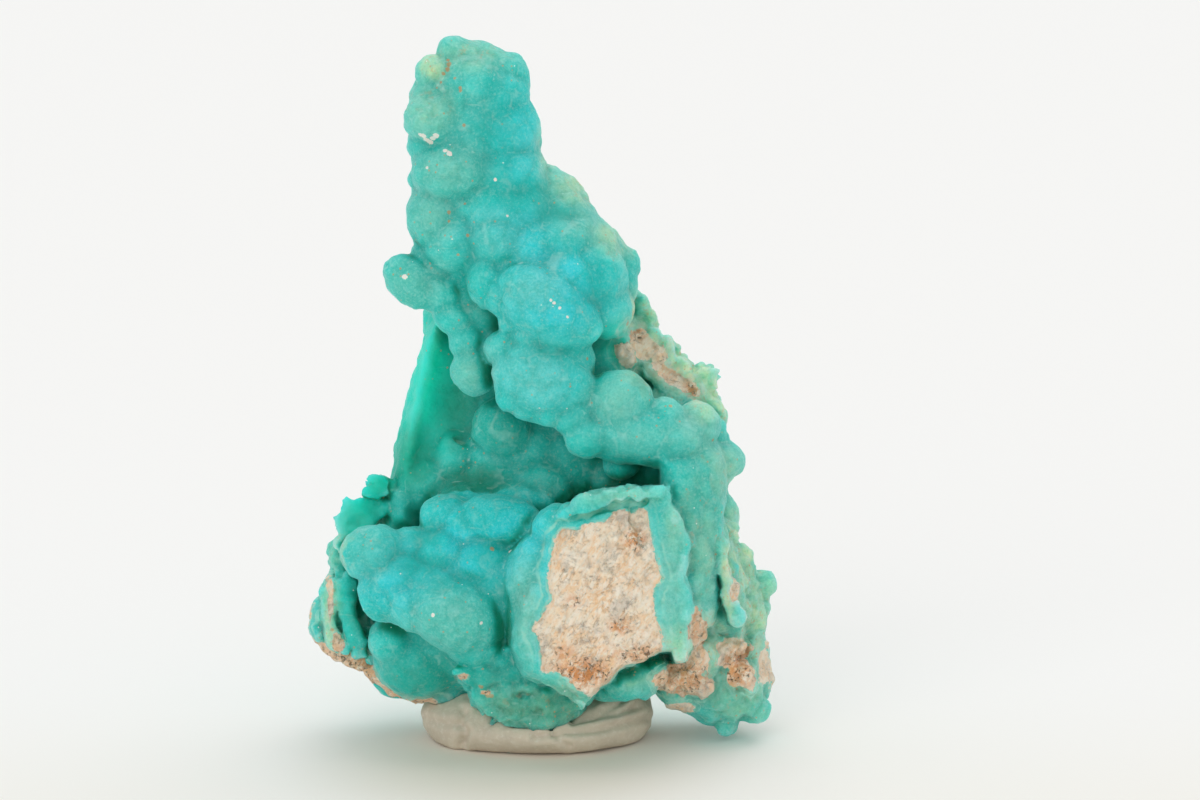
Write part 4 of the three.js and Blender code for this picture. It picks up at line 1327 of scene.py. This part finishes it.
def break_open(whole, grown):
    """The breaks: the rock's pocket in the block's face, the flat break across the lower back,
    the worn band of the plate, and the grooves."""
    index, (x, y, z) = block_part(whole)
    across, up, away = elevation(x, y, z)
    ragged = outline_distance(across, up, ROCK_OUTLINE) + POCKET_RAG * whole.grit[index]
    wave, grit = whole.wave[index], whole.grit[index]
    floor = face_away() + POCKET_DEPTH + POCKET_ROUGH[0] * wave + POCKET_ROUGH[1] * grit
    whole.cut(index, np.maximum(ragged, away - floor), CUT_BLEND)

    index, (x, y, z) = whole.part(whole.low, GRID_HIGH)
    behind, along = break_coordinates(y, z)
    ragged = BREAK_RAG * whole.wave[index]
    reach = np.maximum(np.abs(x - BREAK_AT[0]) - BREAK_HALF[0], np.abs(along) - BREAK_HALF[1])
    floor = BREAK_ROUGH[0] * whole.wave[index] + BREAK_ROUGH[1] * whole.grit[index]
    whole.cut(index, np.maximum(reach + ragged, -behind - floor), BREAK_BLEND)

    corners = np.array([place(a, u, d) for a, u in BAND_OUTLINE for d in BAND_DEPTHS])
    index, (x, y, z) = whole.part(corners.min(axis=0) - 1, corners.max(axis=0) + 1)
    across, up, _ = elevation(x, y, z)
    ragged = outline_distance(across, up, BAND_OUTLINE) + BAND_RAG * whole.grit[index]
    peel = -BAND_CUT - grown[index] + BAND_ROUGH * whole.grit[index]
    whole.cut(index, np.maximum(np.maximum(ragged, peel), y - BAND_DEPTHS[1]), CUT_BLEND)

    for start, end, radius, soft in GROOVES:
        index, groove = whole.rod(start, end, radius)
        whole.cut(index, groove + GROOVE_ROUGH * whole.grit[index], soft)


def break_coordinates(y, z):
    """How far a point lies behind the break across the lower back, and how far up along it."""
    cos, sin = math.cos(BREAK_LEAN), math.sin(BREAK_LEAN)
    back, high = y - BREAK_AT[1], z - BREAK_AT[2]
    return back * cos - high * sin, back * sin + high * cos


def rock_measure(points, crust, stone, whole, grown):
    """How surely rock shows at points of the surface, in mm, above 0 where it does: where a
    lump of rock is nearer than crust, deep under the grown skin, inside the outlines, or in
    the patches where it lies flush."""
    x, y, z = points.T
    across, up, away = elevation(x, y, z)
    ragged = ROCK_RAG[0] * layered_grain(x, y, z, ROCK_RAG[1], SEED["rock edge"])
    lump = crust.sample(points) - stone.sample(points)
    uneven = CRUST_UNEVEN[0] * layered_grain(x, y, z, CRUST_UNEVEN[1], SEED["crust"])
    thick = CRUST + uneven + ragged
    behind, _ = break_coordinates(y, z)
    deep = np.where(behind > BREAK_NEAR, -whole.sample(points, grown) - thick, NO_ROCK)
    near_face = POCKET_NEAR - np.abs(away - face_away() - POCKET_DEPTH)
    pocket = np.minimum(-outline_distance(across, up, ROCK_OUTLINE), near_face) + ragged * 0.5
    front = BAND_DEPTHS[1] - y
    band = np.minimum(-outline_distance(across, up, BAND_OUTLINE), front) + 1.8 * ragged
    torn = TORN[0] * layered_grain(x, y, z, TORN[1], SEED["torn"], layers=4, fade=0.7)
    mask = patches(points, ROCK_PATCHES)
    none = NO_ROCK * np.clip(1 - mask / FLUSH_LEAST, 0, 1)
    flush = FLUSH_RISE * (mask - 0.5) + torn + none
    return np.maximum.reduce([lump + TORN_LUMP * torn, deep, pocket, band, flush])


def hollow_measure(points, normals, field):
    """How much of the open space over each point the solid takes, from 0 to 1."""
    total = np.zeros(len(points))
    for reach in HOLLOW_REACHES:
        space = field.sample(points + normals * reach)
        total += np.clip(1 - space / reach, 0, 1)
    return total / len(HOLLOW_REACHES)


def seam_distance(points, field):
    """How far each point is from the nearest seam, in mm: the seam's value over the steepest
    change of it round the point."""
    here = field.sample(points, field.seam)
    steepest = np.full(len(points), SEAM_LEAST_SLOPE)
    for k in range(3):
        for side in (-1, 1):
            shift = np.zeros(3)
            shift[k] = side * SEAM_REACH
            change = np.abs(field.sample(points + shift, field.seam) - here)
            steepest = np.maximum(steepest, change / SEAM_REACH)
    return np.minimum(here / steepest, SEAM_FAR)


def thin_measure(points, normals, field):
    """How thin the solid is under each point, from 0 where it is thick to 1 at an edge."""
    total = np.zeros(len(points))
    for reach in THIN_REACHES:
        total += np.clip(1 + field.sample(points - normals * reach) / reach, 0, 1)
    return total / len(THIN_REACHES)


def patches(points, rows):
    """A soft mask from round patches of the elevation: each fades from 1 at its middle to 0 at
    its reach, and the strongest counts."""
    across, up, _ = elevation(*points.T)
    mask = np.zeros(len(points))
    for middle_across, middle_up, reach_across, reach_up, strength, least, most in rows:
        far = ((across - middle_across) / reach_across) ** 2 + ((up - middle_up) / reach_up) ** 2
        here = np.exp(-PATCH_FALL[0] * far ** PATCH_FALL[1]) * strength
        mask = np.maximum(mask, np.where((points[:, 1] > least) & (points[:, 1] < most), here, 0))
    return mask


def on_surface(points, spots):
    """The place on the visible front of each spot of the elevation, with its radius: the
    nearest to the viewer of the points that lie close to it on the elevation."""
    across, up, away = elevation(*points.T)
    places = []
    for spot_across, spot_up, radius in spots:
        off = np.hypot(across - spot_across, up - spot_up)
        score = away + SPOT_PRICE * np.maximum(off - SPOT_NEAR, 0)
        places.append((points[np.argmin(score)], radius))
    return places


def put_mesh(name, points, faces, attributes):
    """A mesh piece from points in mm and faces, smooth, with its named values per point."""
    mesh = bpy.data.meshes.new(name)
    mesh.from_pydata((points * MM).tolist(), [], faces.tolist())
    mesh.update()
    mesh.polygons.foreach_set("use_smooth", np.ones(len(mesh.polygons), bool))
    for key, values in attributes.items():
        layer = mesh.attributes.new(key, "FLOAT", "POINT")
        layer.data.foreach_set("value", values.astype(np.float32))
    piece = bpy.data.objects.new(name, mesh)
    bpy.context.scene.collection.objects.link(piece)
    return piece


def thinned(points, faces, most):
    """The surface with no more triangles than asked: the least needed ones are merged."""
    bare = put_mesh("thinned", points, faces, {})
    thinning = bare.modifiers.new("thinning", "DECIMATE")
    thinning.ratio = min(most / (2 * len(faces)), 1)
    graph = bpy.context.evaluated_depsgraph_get()
    mesh = bpy.data.meshes.new_from_object(bare.evaluated_get(graph))
    points = np.empty(len(mesh.vertices) * 3)
    mesh.vertices.foreach_get("co", points)
    mesh.calc_loop_triangles()
    triangles = np.empty(len(mesh.loop_triangles) * 3, np.int32)
    mesh.loop_triangles.foreach_get("vertices", triangles)
    spare = bare.data
    bpy.data.objects.remove(bare)
    bpy.data.meshes.remove(spare)
    bpy.data.meshes.remove(mesh)
    return points.reshape(-1, 3) / MM, triangles.reshape(-1, 3)


def two_grains(x, y, z, grains, seeds):
    """The sum of a layered grain and a single one, each given as its height and its size."""
    (coarse_height, coarse_size), (fine_height, fine_size) = grains
    coarse = coarse_height * layered_grain(x, y, z, coarse_size, seeds[0])
    return coarse + fine_height * grain(x, y, z, fine_size, seeds[1])


def relief(points, rock, under):
    """How far the skin stands out over the solid's surface, and how far it is from the edges
    of its larger caps, in mm: caps and a fine grain on grown crust, a stronger grain in the
    ragged patches, and a coarser one with cracks on rock."""
    x, y, z = points.T
    from_wing = np.linalg.norm((points - place(*WING_MIDDLE)) / WING_REACH, axis=1)
    grown = np.clip((from_wing - 0.9) * 3, 0, 1) * np.clip(1 - under / 0.3, 0, 1)
    middle, swing, size = CAP_SHARE
    share = np.clip(middle + swing * grain(x, y, z, size, SEED["cap share"]), *CAP_LIMITS) * grown
    (large, edge), (small, _) = (caps(x, y, z, size, reach, seed) for size, reach, seed in CAPS)
    skin_grain = two_grains(x, y, z, SKIN_GRAINS, SEED["skin"])
    raised = CAP_HEIGHTS[0] * (large - CAP_LEVEL) + CAP_HEIGHTS[1] * (small - CAP_LEVEL)
    skin_grain = skin_grain + share * raised
    ragged = layered_grain(x, y, z, RAG_SIZE, SEED["rag"])
    skin_grain = skin_grain + RAG * patches(points, RAGGED) * ragged
    stone_grain = two_grains(x, y, z, STONE_GRAINS, SEED["stone"])
    depth, half_width, size = STONE_CRACKS
    crack = half_width - np.abs(grain(x, y, z, size, SEED["cracks"]))
    stone_grain = stone_grain - depth * np.clip(crack, 0, 1)
    rough = np.clip(rock / 0.5, 0, 1)
    return skin_grain * (1 - rough) + stone_grain * rough, edge


def make_specimen():
    """The specimen as one mesh: the grown crust and the rock run together, the breaks cut, the
    zero surface drawn and raised by its relief, thinned, and given the named values that its
    finish reads. Returns it with its distances and its points."""
    rng = np.random.default_rng(SEED["bubbles"])
    crust = grow_crust(rng)
    stone = grow_stone(crust)
    whole = Field(GRID_LOW, GRID_HIGH, STEP)
    whole.wave, whole.grit = crust.wave, crust.grit
    whole.value = soft_min(crust.value, stone.value, STONE_BLEND).astype(np.float32)
    grown = whole.value.copy()
    break_open(whole, grown)
    whole.mend()
    points, faces = largest_piece(*skin(whole))
    points = whole.settle(points, 2)
    rock = rock_measure(points, crust, stone, whole, grown)
    raised, _ = relief(points, rock, -whole.sample(points, grown))
    points = points + whole.slope(points) * raised[:, None]
    points, faces = thinned(points, faces, MOST_TRIANGLES)
    ground = whole.settle(points, 3)
    rock = rock_measure(ground, crust, stone, whole, grown)
    under = -whole.sample(ground, grown)
    _, edge = relief(ground, rock, under)
    attributes = {
        "rock": rock,
        "under": under,
        "cap_edge": edge,
        "seam": crust.sample(ground, crust.seam),
        "seam_line": seam_distance(ground, crust),
        "hollow": hollow_measure(ground, whole.slope(ground), whole),
        "thin": thin_measure(ground, whole.slope(ground), whole),
        "jade": patches(points, JADE),
        "pale": patches(points, PALE),
        "blue": patches(points, BLUE),
        "pearl": patches(points, PEARL),
        "teal_shade": patches(points, TEAL_SHADE),
        "deep": patches(points, DEEP_SHADE),
        "stain": patches(points, STAIN),
    }
    return put_mesh("hemimorphite_crust", points, faces, attributes), whole, points


def fold_depth(points):
    """How deep the folds of the putty lie, in mm: a rounded groove along each line of the
    elevation, with a low swelling at both sides."""
    across, up, _ = elevation(*points.T)
    total = np.zeros(len(points))
    share, middle, half_width = FOLD_SWELLING
    for line, depth, width in PUTTY_FOLDS:
        off = line_distance(across, up, line) / width
        swelling = share * np.exp(-((off - middle) / half_width) ** 2)
        total += depth * (np.exp(-off ** 2) - swelling)
    return np.where(points[:, 1] < FOLD_FRONT, total, 0)


def make_putty(whole):
    """The lump of putty: flat rounds run together, pressed to the underside of the specimen
    and cut level below, with folds where it was kneaded."""
    low, high = PUTTY_GRID
    lump = Field(low, high, PUTTY_STEP)
    lump.wave = lump.grains(PUTTY_WAVE_SIZE, SEED["putty wave"])
    lump.grit = lump.grains(PUTTY_GRIT_SIZE, SEED["putty grit"])
    lump.lobes(PUTTY, PUTTY_BLEND, *PUTTY_ROUGH)
    index, (x, y, z) = lump.part(lump.low, high)
    grid = np.stack(np.broadcast_arrays(x, y, z), -1).reshape(-1, 3)
    print_of = whole.sample(grid).reshape(lump.value.shape)
    lump.cut(index, print_of + PRINT_INSET, PRINT_BLEND)
    lump.cut(index, z, LEVEL_BLEND)
    lump.mend()
    points, faces = largest_piece(*skin(lump))
    points = lump.settle(points, 2)
    normals = lump.slope(points)
    height, size = PUTTY_SKIN
    raised = height * layered_grain(*points.T, size, SEED["putty skin"]) - fold_depth(points)
    points = points + normals * raised[:, None]
    points[:, 2] = np.maximum(points[:, 2], 0)
    attributes = {"hollow": hollow_measure(points, normals, lump)}
    return put_mesh("putty_lump", points, faces, attributes)


# ---- finishes ----

class Finish:
    """A material and short calls that add nodes to it. Lengths in its patterns are in mm."""

    def __init__(self, name):
        self.material = bpy.data.materials.new(name)
        self.material.use_nodes = True
        self.tree = self.material.node_tree
        self.tree.nodes.clear()
        place_in_metres = self.add("TexCoord", out="Object")
        self.place = self.add("VectorMath", {"operation": "SCALE"},
                              Vector=place_in_metres, Scale=1 / MM)

    def add(self, kind, settings=None, out=0, **inputs):
        """A node with its settings and inputs, each input a value or a node's output; an
        input named n and a number, such as n0, is found by that number."""
        node = self.tree.nodes.new("ShaderNode" + kind)
        for key, value in (settings or {}).items():
            setattr(node, key, value)
        for key, value in inputs.items():
            socket = node.inputs[int(key[1:])] if key[1:].isdigit() else \
                node.inputs[key.replace("_", " ")]
            if isinstance(value, bpy.types.NodeSocket):
                self.tree.links.new(value, socket)
            else:
                socket.default_value = value
        return node.outputs[out]

    def math(self, operation, a, b=0.0):
        """One step of arithmetic on two values."""
        return self.add("Math", {"operation": operation}, n0=a, n1=b)

    def times(self, a, b):
        """The product of two values."""
        return self.math("MULTIPLY", a, b)

    def plus(self, a, b):
        """The sum of two values."""
        return self.math("ADD", a, b)

    def mix(self, share, a, b):
        """The first colour, with a share from 0 to 1 of the second."""
        return self.add("Mix", {"data_type": "RGBA"}, out=2, n0=share, n6=colour(a), n7=colour(b))

    def fade(self, value, low, high, least=0.0, most=1.0):
        """A smooth rise from least to most as the value goes from low to high."""
        return self.add("MapRange", {"interpolation_type": "SMOOTHSTEP"}, Value=value,
                        From_Min=low, From_Max=high, To_Min=least, To_Max=most)

    def ring(self, value, at, width):
        """1 where the value is near at, falling to 0 at width on both sides."""
        off = self.math("ABSOLUTE", self.math("SUBTRACT", value, at))
        return self.fade(off, 0.0, width, 1.0, 0.0)

    def noise(self, size, detail=3.0, rough=0.55, stretch=None, twist=0.0):
        """Soft noise from 0 to 1 of the given size; stretch is its scale and its turn."""
        vector = self.place
        if stretch:
            vector = self.add("Mapping", {"vector_type": "TEXTURE"}, Vector=vector,
                              Scale=stretch[0], Rotation=stretch[1])
        return self.add("TexNoise", Vector=vector, Scale=1 / size, Detail=detail,
                        Roughness=rough, Distortion=twist)

    def cells(self, size, out="Distance"):
        """Distance to the middle of the nearest cell of the given size, or its colour."""
        return self.add("TexVoronoi", out=out, Vector=self.place, Scale=1 / size)

    def specks(self, size, radius, share):
        """Small spots in a share of the cells of the given size."""
        near = self.cells(size)
        pick = self.add("SeparateColor", out=0, Color=self.cells(size, out="Color"))
        spot = self.fade(near, radius * 0.6 / size, radius / size, 1.0, 0.0)
        return self.math("MULTIPLY", spot, self.fade(pick, share, share - 0.01, 0.0, 1.0))

    def value(self, name):
        """A named value of the mesh."""
        return self.add("Attribute", {"attribute_name": name}, out="Fac")

    def spots(self, places):
        """1 inside small round places on the surface, with ragged edges."""
        nearest = None
        for point, radius in places:
            off = self.add("VectorMath", {"operation": "DISTANCE"}, out="Value",
                           n0=self.place, n1=tuple(float(v) for v in point))
            off = self.math("DIVIDE", off, radius)
            nearest = off if nearest is None else self.math("MINIMUM", nearest, off)
        ragged = self.add("Math", {"operation": "MULTIPLY_ADD"},
                          n0=self.noise(0.3, 4.0, 0.7), n1=1.6, n2=-0.8)
        return self.fade(self.math("ADD", nearest, ragged), 0.9, 1.1, 1.0, 0.0)

    def bump(self, height, depth):
        """Relief of the given depth in mm over a height from 0 to 1."""
        return self.add("Bump", Height=height, Distance=depth * MM, Strength=1.0)

    def shade(self, **inputs):
        """The finished material, with the shader's inputs."""
        shader = self.add("BsdfPrincipled", **inputs)
        output = self.tree.nodes.new("ShaderNodeOutputMaterial")
        self.tree.links.new(shader, output.inputs["Surface"])
        return self.material


def colour(value):
    """A colour given as a hex number becomes linear red, green, blue and 1."""
    if not isinstance(value, int):
        return value
    parts = np.array([value >> 16, value >> 8 & 255, value & 255]) / 255
    linear = np.where(parts <= 0.04045, parts / 12.92, ((parts + 0.055) / 1.055) ** 2.4)
    return (*(float(v) for v in linear), 1.0)


def grown_colour(f, fine, middling, white_spots, rust_spots):
    """The colour of the grown crust, laid on from the ground up, with painted shade in its hollows,
    seams and shaded patches, and its arcs of painted highlight.
    """
    rock, hollow, seam, pale = (f.value(k) for k in ("rock", "hollow", "seam", "pale"))
    # Clouds of aqua, with patches of blue, pearl and pale green.
    cloud = f.fade(f.noise(4.2, 4.0, 0.6), 0.36, 0.66)
    body = f.mix(cloud, AQUA, LIGHT_AQUA)
    body = f.mix(f.value("blue"), body, BLUE_AQUA)
    pearl = f.times(f.value("pearl"), f.fade(middling, 0.3, 0.6, 0.6, 1.0))
    body = f.mix(pearl, body, PEARL_AQUA)
    green = f.times(pale, f.fade(f.noise(1.6, 3.0), 0.25, 0.65, 0.65, 1.0))
    body = f.mix(green, body, PALE_GREEN)
    # A cream haze where pale or stained crust runs out over the rock.
    haze = f.math("MAXIMUM", pale, f.value("stain"))
    haze = f.times(haze, f.fade(rock, -1.6, -0.1, 0.0, 0.9))
    body = f.mix(f.times(haze, f.fade(middling, 0.35, 0.6)), body, CREAM)
    # Painted shade: deeper colour in hollows, along seams and in the teal patches.
    open_pale = f.fade(pale, 0.3, 1.0, 1.0, 0.4)
    hollow_shade = f.times(f.fade(hollow, 0.25, 0.60, 0.0, 0.8), open_pale)
    body = f.mix(hollow_shade, body, SHADE_TURQUOISE)
    # Painted shade along the seams and the edges of caps.
    body = f.mix(f.fade(seam, 0.1, 1.2, 0.35, 0.0), body, CREASE_SHADE_TEAL)
    body = f.mix(f.fade(f.value("cap_edge"), 0.0, 0.7, 0.3, 0.0), body, CREASE_SHADE_TEAL)
    # Painted shade in the teal patches.
    teal_shade = f.times(f.value("teal_shade"), f.fade(middling, 0.3, 0.6, 0.9, 0.7))
    body = f.mix(teal_shade, body, CREASE_SHADE_TEAL)
    # A frosted grain, fainter where the crust is clear and where shade is painted in hollows and
    # teal patches.
    clear = f.math("MAXIMUM", f.value("jade"), f.fade(hollow, 0.35, 0.75))
    clear = f.math("MAXIMUM", clear, f.times(f.value("teal_shade"), 0.8))
    frost = f.fade(clear, 0.0, 1.0, 1.0, 0.2)
    body = f.mix(f.fade(middling, 0.48, 0.75, 0.0, 0.25), body, DARK_GRAIN)
    body = f.mix(f.times(frost, f.fade(middling, 0.50, 0.25, 0.0, 0.30)), body, FROST)
    body = f.mix(f.times(frost, f.fade(fine, 0.46, 0.80, 0.0, 0.50)), body, FROST)
    body = f.mix(f.fade(fine, 0.52, 0.20, 0.0, 0.55), body, DARK_GRAIN)
    # Clear green, and painted shade in deep hollows and in the deep patches.
    body = f.mix(f.value("jade"), body, f.mix(middling, DEEP_JADE, LIGHT_JADE))
    hollow_shade = f.times(f.fade(hollow, 0.50, 0.90, 0.0, 0.85), open_pale)
    body = f.mix(hollow_shade, body, SHADE_GREEN)
    deep = f.times(f.value("deep"), f.fade(middling, 0.2, 0.6, 1.0, 0.8))
    body = f.mix(deep, body, SHADE_GREEN)
    # Painted highlights: pale arcs along the seams of domes and caps, and painted light through
    # thin edges.
    gate = f.noise(3.4, 2.0)
    arcs = f.times(f.ring(f.value("seam_line"), 0.0, 0.24), f.fade(gate, 0.38, 0.56, 0.15, 0.9))
    edges = f.times(f.ring(f.value("cap_edge"), 0.0, 0.24), f.fade(gate, 0.56, 0.44, 0.05, 0.35))
    arcs = f.times(f.math("MAXIMUM", arcs, edges), frost)
    body = f.mix(f.times(arcs, 0.65), body, RIM_HIGHLIGHT)
    # Painted light glowing through the thin edges.
    thin = f.times(f.fade(f.value("thin"), 0.15, 0.7), f.fade(seam, 1.2, 2.8))
    body = f.mix(f.times(f.times(thin, frost), 0.45), body, RIM_HIGHLIGHT)
    # Bands of growth: where the crust is cut open, and where it ends at the rock.
    shell = f.value("under")
    bands = f.math("SINE", f.times(f.plus(shell, f.noise(3.0)), 12.0))
    band = f.times(f.fade(shell, 0.25, 0.5), f.fade(bands, -0.6, 1.0, 0.05, 0.5))
    body = f.mix(band, body, BAND_PALE)
    bands = f.math("SINE", f.plus(f.times(rock, 7.0), f.times(f.noise(1.4, 3.0), 5.0)))
    band = f.times(f.fade(rock, -1.7, -0.9), f.fade(bands, 0.0, 1.0, 0.15, 0.8))
    band = f.times(band, f.fade(f.noise(3.6), 0.42, 0.58, 0.2, 1.0))
    body = f.mix(band, body, BAND_PALE)
    # Rusty dust, mostly on pale and pearly crust, white specks that are painted glints, and the
    # single marks.
    dusty = f.times(f.math("MAXIMUM", pale, f.value("pearl")), 0.2)
    dust = f.times(f.specks(0.8, 0.15, 0.35), f.fade(f.plus(f.noise(5.0), dusty), 0.46, 0.60))
    body = f.mix(f.times(dust, 0.65), body, RUST_LIGHT)
    rusty = f.times(pale, f.fade(f.noise(1.0, 4.0, 0.7), 0.56, 0.68, 0.0, 0.65))
    body = f.mix(rusty, body, RUST_LIGHT)
    # White specks: painted glints.
    body = f.mix(f.times(f.specks(1.4, 0.10, 0.30), 0.8), body, GLINT_WHITE)
    body = f.mix(f.times(f.spots(rust_spots), 0.75), body, RUST)
    return f.mix(f.spots(white_spots), body, CHALK), arcs


def stone_colour(f, hollow):
    """The colour of the bare rock, and the height of its fibres, pits and cracks."""
    # Cream and pinkish clouds with whiter fibres, and grey and ochre patches.
    stone = f.mix(f.fade(f.noise(3.4, 3.0), 0.35, 0.65), CREAM, PINKISH)
    fibre = f.noise(0.42, 5.0, 0.7, ((1.0, 1.0, 3.0), (0.0, math.radians(35), 0.0)), 0.5)
    stone = f.mix(f.fade(fibre, 0.38, 0.62, 0.0, 0.75), stone, STONE_WHITE)
    stone = f.mix(f.fade(f.noise(2.4, 3.0), 0.56, 0.70, 0.0, 0.6), stone, STONE_GREY)
    stone = f.mix(f.fade(f.noise(1.1, 4.0, 0.7, twist=0.8), 0.58, 0.70, 0.0, 0.35), stone, OCHRE)
    # Brown stain, fine cracks, and pits that are denser where it is stained.
    stain = f.times(f.value("stain"), f.fade(f.noise(0.8, 5.0, 0.75), 0.38, 0.56))
    stone = f.mix(stain, stone, STAIN_BROWN)
    crack = f.ring(f.noise(1.3, 4.0, 0.65, twist=1.2), 0.5, 0.016)
    crack = f.times(crack, f.fade(f.noise(2.3), 0.44, 0.58, 0.0, 0.25))
    stone = f.mix(crack, stone, PIT_BROWN)
    pits = f.fade(f.noise(0.5, 4.0, 0.7, twist=0.8), 0.56, 0.66)
    pits = f.times(pits, f.fade(f.value("stain"), 0.0, 0.7, 0.25, 1.0))
    stone = f.mix(f.times(pits, 0.85), stone, PIT_BROWN)
    stone = f.mix(f.fade(hollow, 0.45, 0.95, 0.0, 0.45), stone, OCHRE)
    return stone, f.plus(fibre, f.times(f.plus(pits, crack), -0.8))


def crust_finish(white_spots, rust_spots):
    """Translucent blue-green crust with painted pale highlight rims along its domes and painted
    shade in its hollows, over cream rock.
    """
    f = Finish("hemimorphite_and_matrix")
    uneven = f.times(f.math("SUBTRACT", f.noise(0.5, 4.0, 0.6), 0.5), 0.9)
    is_rock = f.fade(f.plus(f.value("rock"), uneven), -0.11, 0.07)
    fine, middling = f.noise(0.30, 4.0, 0.8), f.noise(1.1, 4.0, 0.7)
    body, arcs = grown_colour(f, fine, middling, white_spots, rust_spots)
    stone, stone_height = stone_colour(f, f.value("hollow"))
    # The crust's skin is sugary, with its arcs a little raised.
    sugar = f.plus(fine, f.times(f.cells(0.42), 0.5))
    sugar = f.plus(sugar, f.times(arcs, 0.3))
    height = f.mix(is_rock, f.times(sugar, 0.5), f.times(stone_height, 1.5))
    return f.shade(
        Base_Color=f.mix(is_rock, body, stone),
        Roughness=f.fade(is_rock, 0.0, 1.0, 0.45, 0.9),
        Subsurface_Weight=f.fade(is_rock, 0.0, 1.0, 1.0, 0.05),
        Subsurface_Radius=(0.5, 1.6, 1.5), Subsurface_Scale=2.0 * MM,
        Specular_IOR_Level=0.22, Sheen_Weight=0.4, Sheen_Roughness=0.25,
        Sheen_Tint=colour(SHEEN), IOR=1.5, Normal=f.bump(height, 0.16))


def putty_finish():
    """Kneaded putty: matt, off white, with fine specks and soft creases, and painted shade in its
    hollows.
    """
    f = Finish("display_putty")
    body = f.mix(f.fade(f.noise(4.0, 3.0), 0.35, 0.65), PUTTY_GREY, PUTTY_CREAM)
    body = f.mix(f.fade(f.noise(0.5, 4.0, 0.65), 0.5, 0.75, 0.0, 0.3), body, CHALK)
    body = f.mix(f.times(f.specks(2.3, 0.16, 0.3), 0.6), body, PUTTY_SPECK_AND_SHADE)
    body = f.mix(f.times(f.specks(3.7, 0.22, 0.2), 0.5), body, AQUA)
    # Painted shade: darker in the hollows and folds.
    body = f.mix(f.fade(f.value("hollow"), 0.3, 0.9, 0.0, 0.35), body, PUTTY_SPECK_AND_SHADE)
    relief = f.plus(f.noise(0.6, 4.0, 0.6), f.times(f.noise(2.2, 2.0), 1.5))
    return f.shade(Base_Color=body, Roughness=0.72, Subsurface_Weight=0.1,
                   Subsurface_Radius=(1.0, 0.9, 0.8), Subsurface_Scale=0.6 * MM,
                   Normal=f.bump(relief, 0.12))


def floor_finish():
    """The pale table, a little darker towards the front, with a shadow painted round the putty."""
    f = Finish("pale_table")
    depth = f.add("SeparateXYZ", out="Y", Vector=f.place)
    body = f.mix(f.fade(depth, *FLOOR_FADE), FLOOR_NEAR, FLOOR_FAR)
    # A shadow painted round the putty.
    off = f.add("VectorMath", {"operation": "DISTANCE"}, out="Value", n0=f.place, n1=FLOOR_SHADOW_AT)
    body = f.mix(f.fade(off, *FLOOR_SHADOW_REACH, 1.0, 0.0), body, FLOOR_SHADOW)
    return f.shade(Base_Color=body, Roughness=0.85, Specular_IOR_Level=0.1)


# ---- light and view ----

def make_floor():
    """A large round table top at the level of the putty's underside."""
    count = 96
    turn = np.arange(count) * 2 * np.pi / count
    rim = np.stack([np.cos(turn), np.sin(turn), np.zeros(count)], 1) * FLOOR_RADIUS
    points = np.concatenate([rim, [[0, 0, 0]]])
    ring = np.arange(count)
    faces = np.stack([np.full(count, count), ring, (ring + 1) % count], 1)
    mesh = bpy.data.meshes.new("table")
    mesh.from_pydata((points * MM).tolist(), [], faces.tolist())
    floor = bpy.data.objects.new("table", mesh)
    bpy.context.scene.collection.objects.link(floor)
    mesh.materials.append(floor_finish())


def make_light(name, source, strength, width):
    """A far soft light from a direction, as wide as the given angle in degrees."""
    data = bpy.data.lights.new(name, "SUN")
    data.energy, data.angle = strength, math.radians(width)
    light = bpy.data.objects.new(name, data)
    bpy.context.scene.collection.objects.link(light)
    light.location = np.array(source) * LIGHT_AWAY
    light.rotation_euler = Vector(source).to_track_quat("Z", "Y").to_euler()


def make_view():
    """World light, soft lights, and the camera at the distance and tilt of the elevation."""
    scene = bpy.context.scene
    world = bpy.data.worlds.new("studio")
    world.use_nodes = True
    background = world.node_tree.nodes["Background"]
    background.inputs[0].default_value = WORLD_TINT
    background.inputs[1].default_value = WORLD_STRENGTH
    scene.world = world
    for row in LIGHTS:
        make_light(*row)
    data = bpy.data.cameras.new("camera")
    data.lens, data.sensor_width = LENS, SENSOR
    data.clip_start, data.clip_end = CLIP[0] * MM, CLIP[1] * MM
    camera = bpy.data.objects.new("camera", data)
    scene.collection.objects.link(camera)
    cos, sin = math.cos(VIEW_TILT), math.sin(VIEW_TILT)
    aim = np.array([VIEW_ACROSS, 0, VIEW_UP / cos])
    camera.location = (aim + VIEW_DISTANCE * np.array([0, -cos, sin])) * MM
    camera.rotation_euler = (math.pi / 2 - VIEW_TILT, 0, 0)
    scene.camera = camera
    scene.view_settings.view_transform = "Standard"


specimen, whole, surface = make_specimen()
specimen.data.materials.append(
    crust_finish(on_surface(surface, WHITE_SPOTS), on_surface(surface, RUST_SPOTS)))
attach(specimen, "root")
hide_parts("specimen")

putty = make_putty(whole)
putty.data.materials.append(putty_finish())
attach(putty, "root")
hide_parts("putty_pad")

make_floor()
make_view()
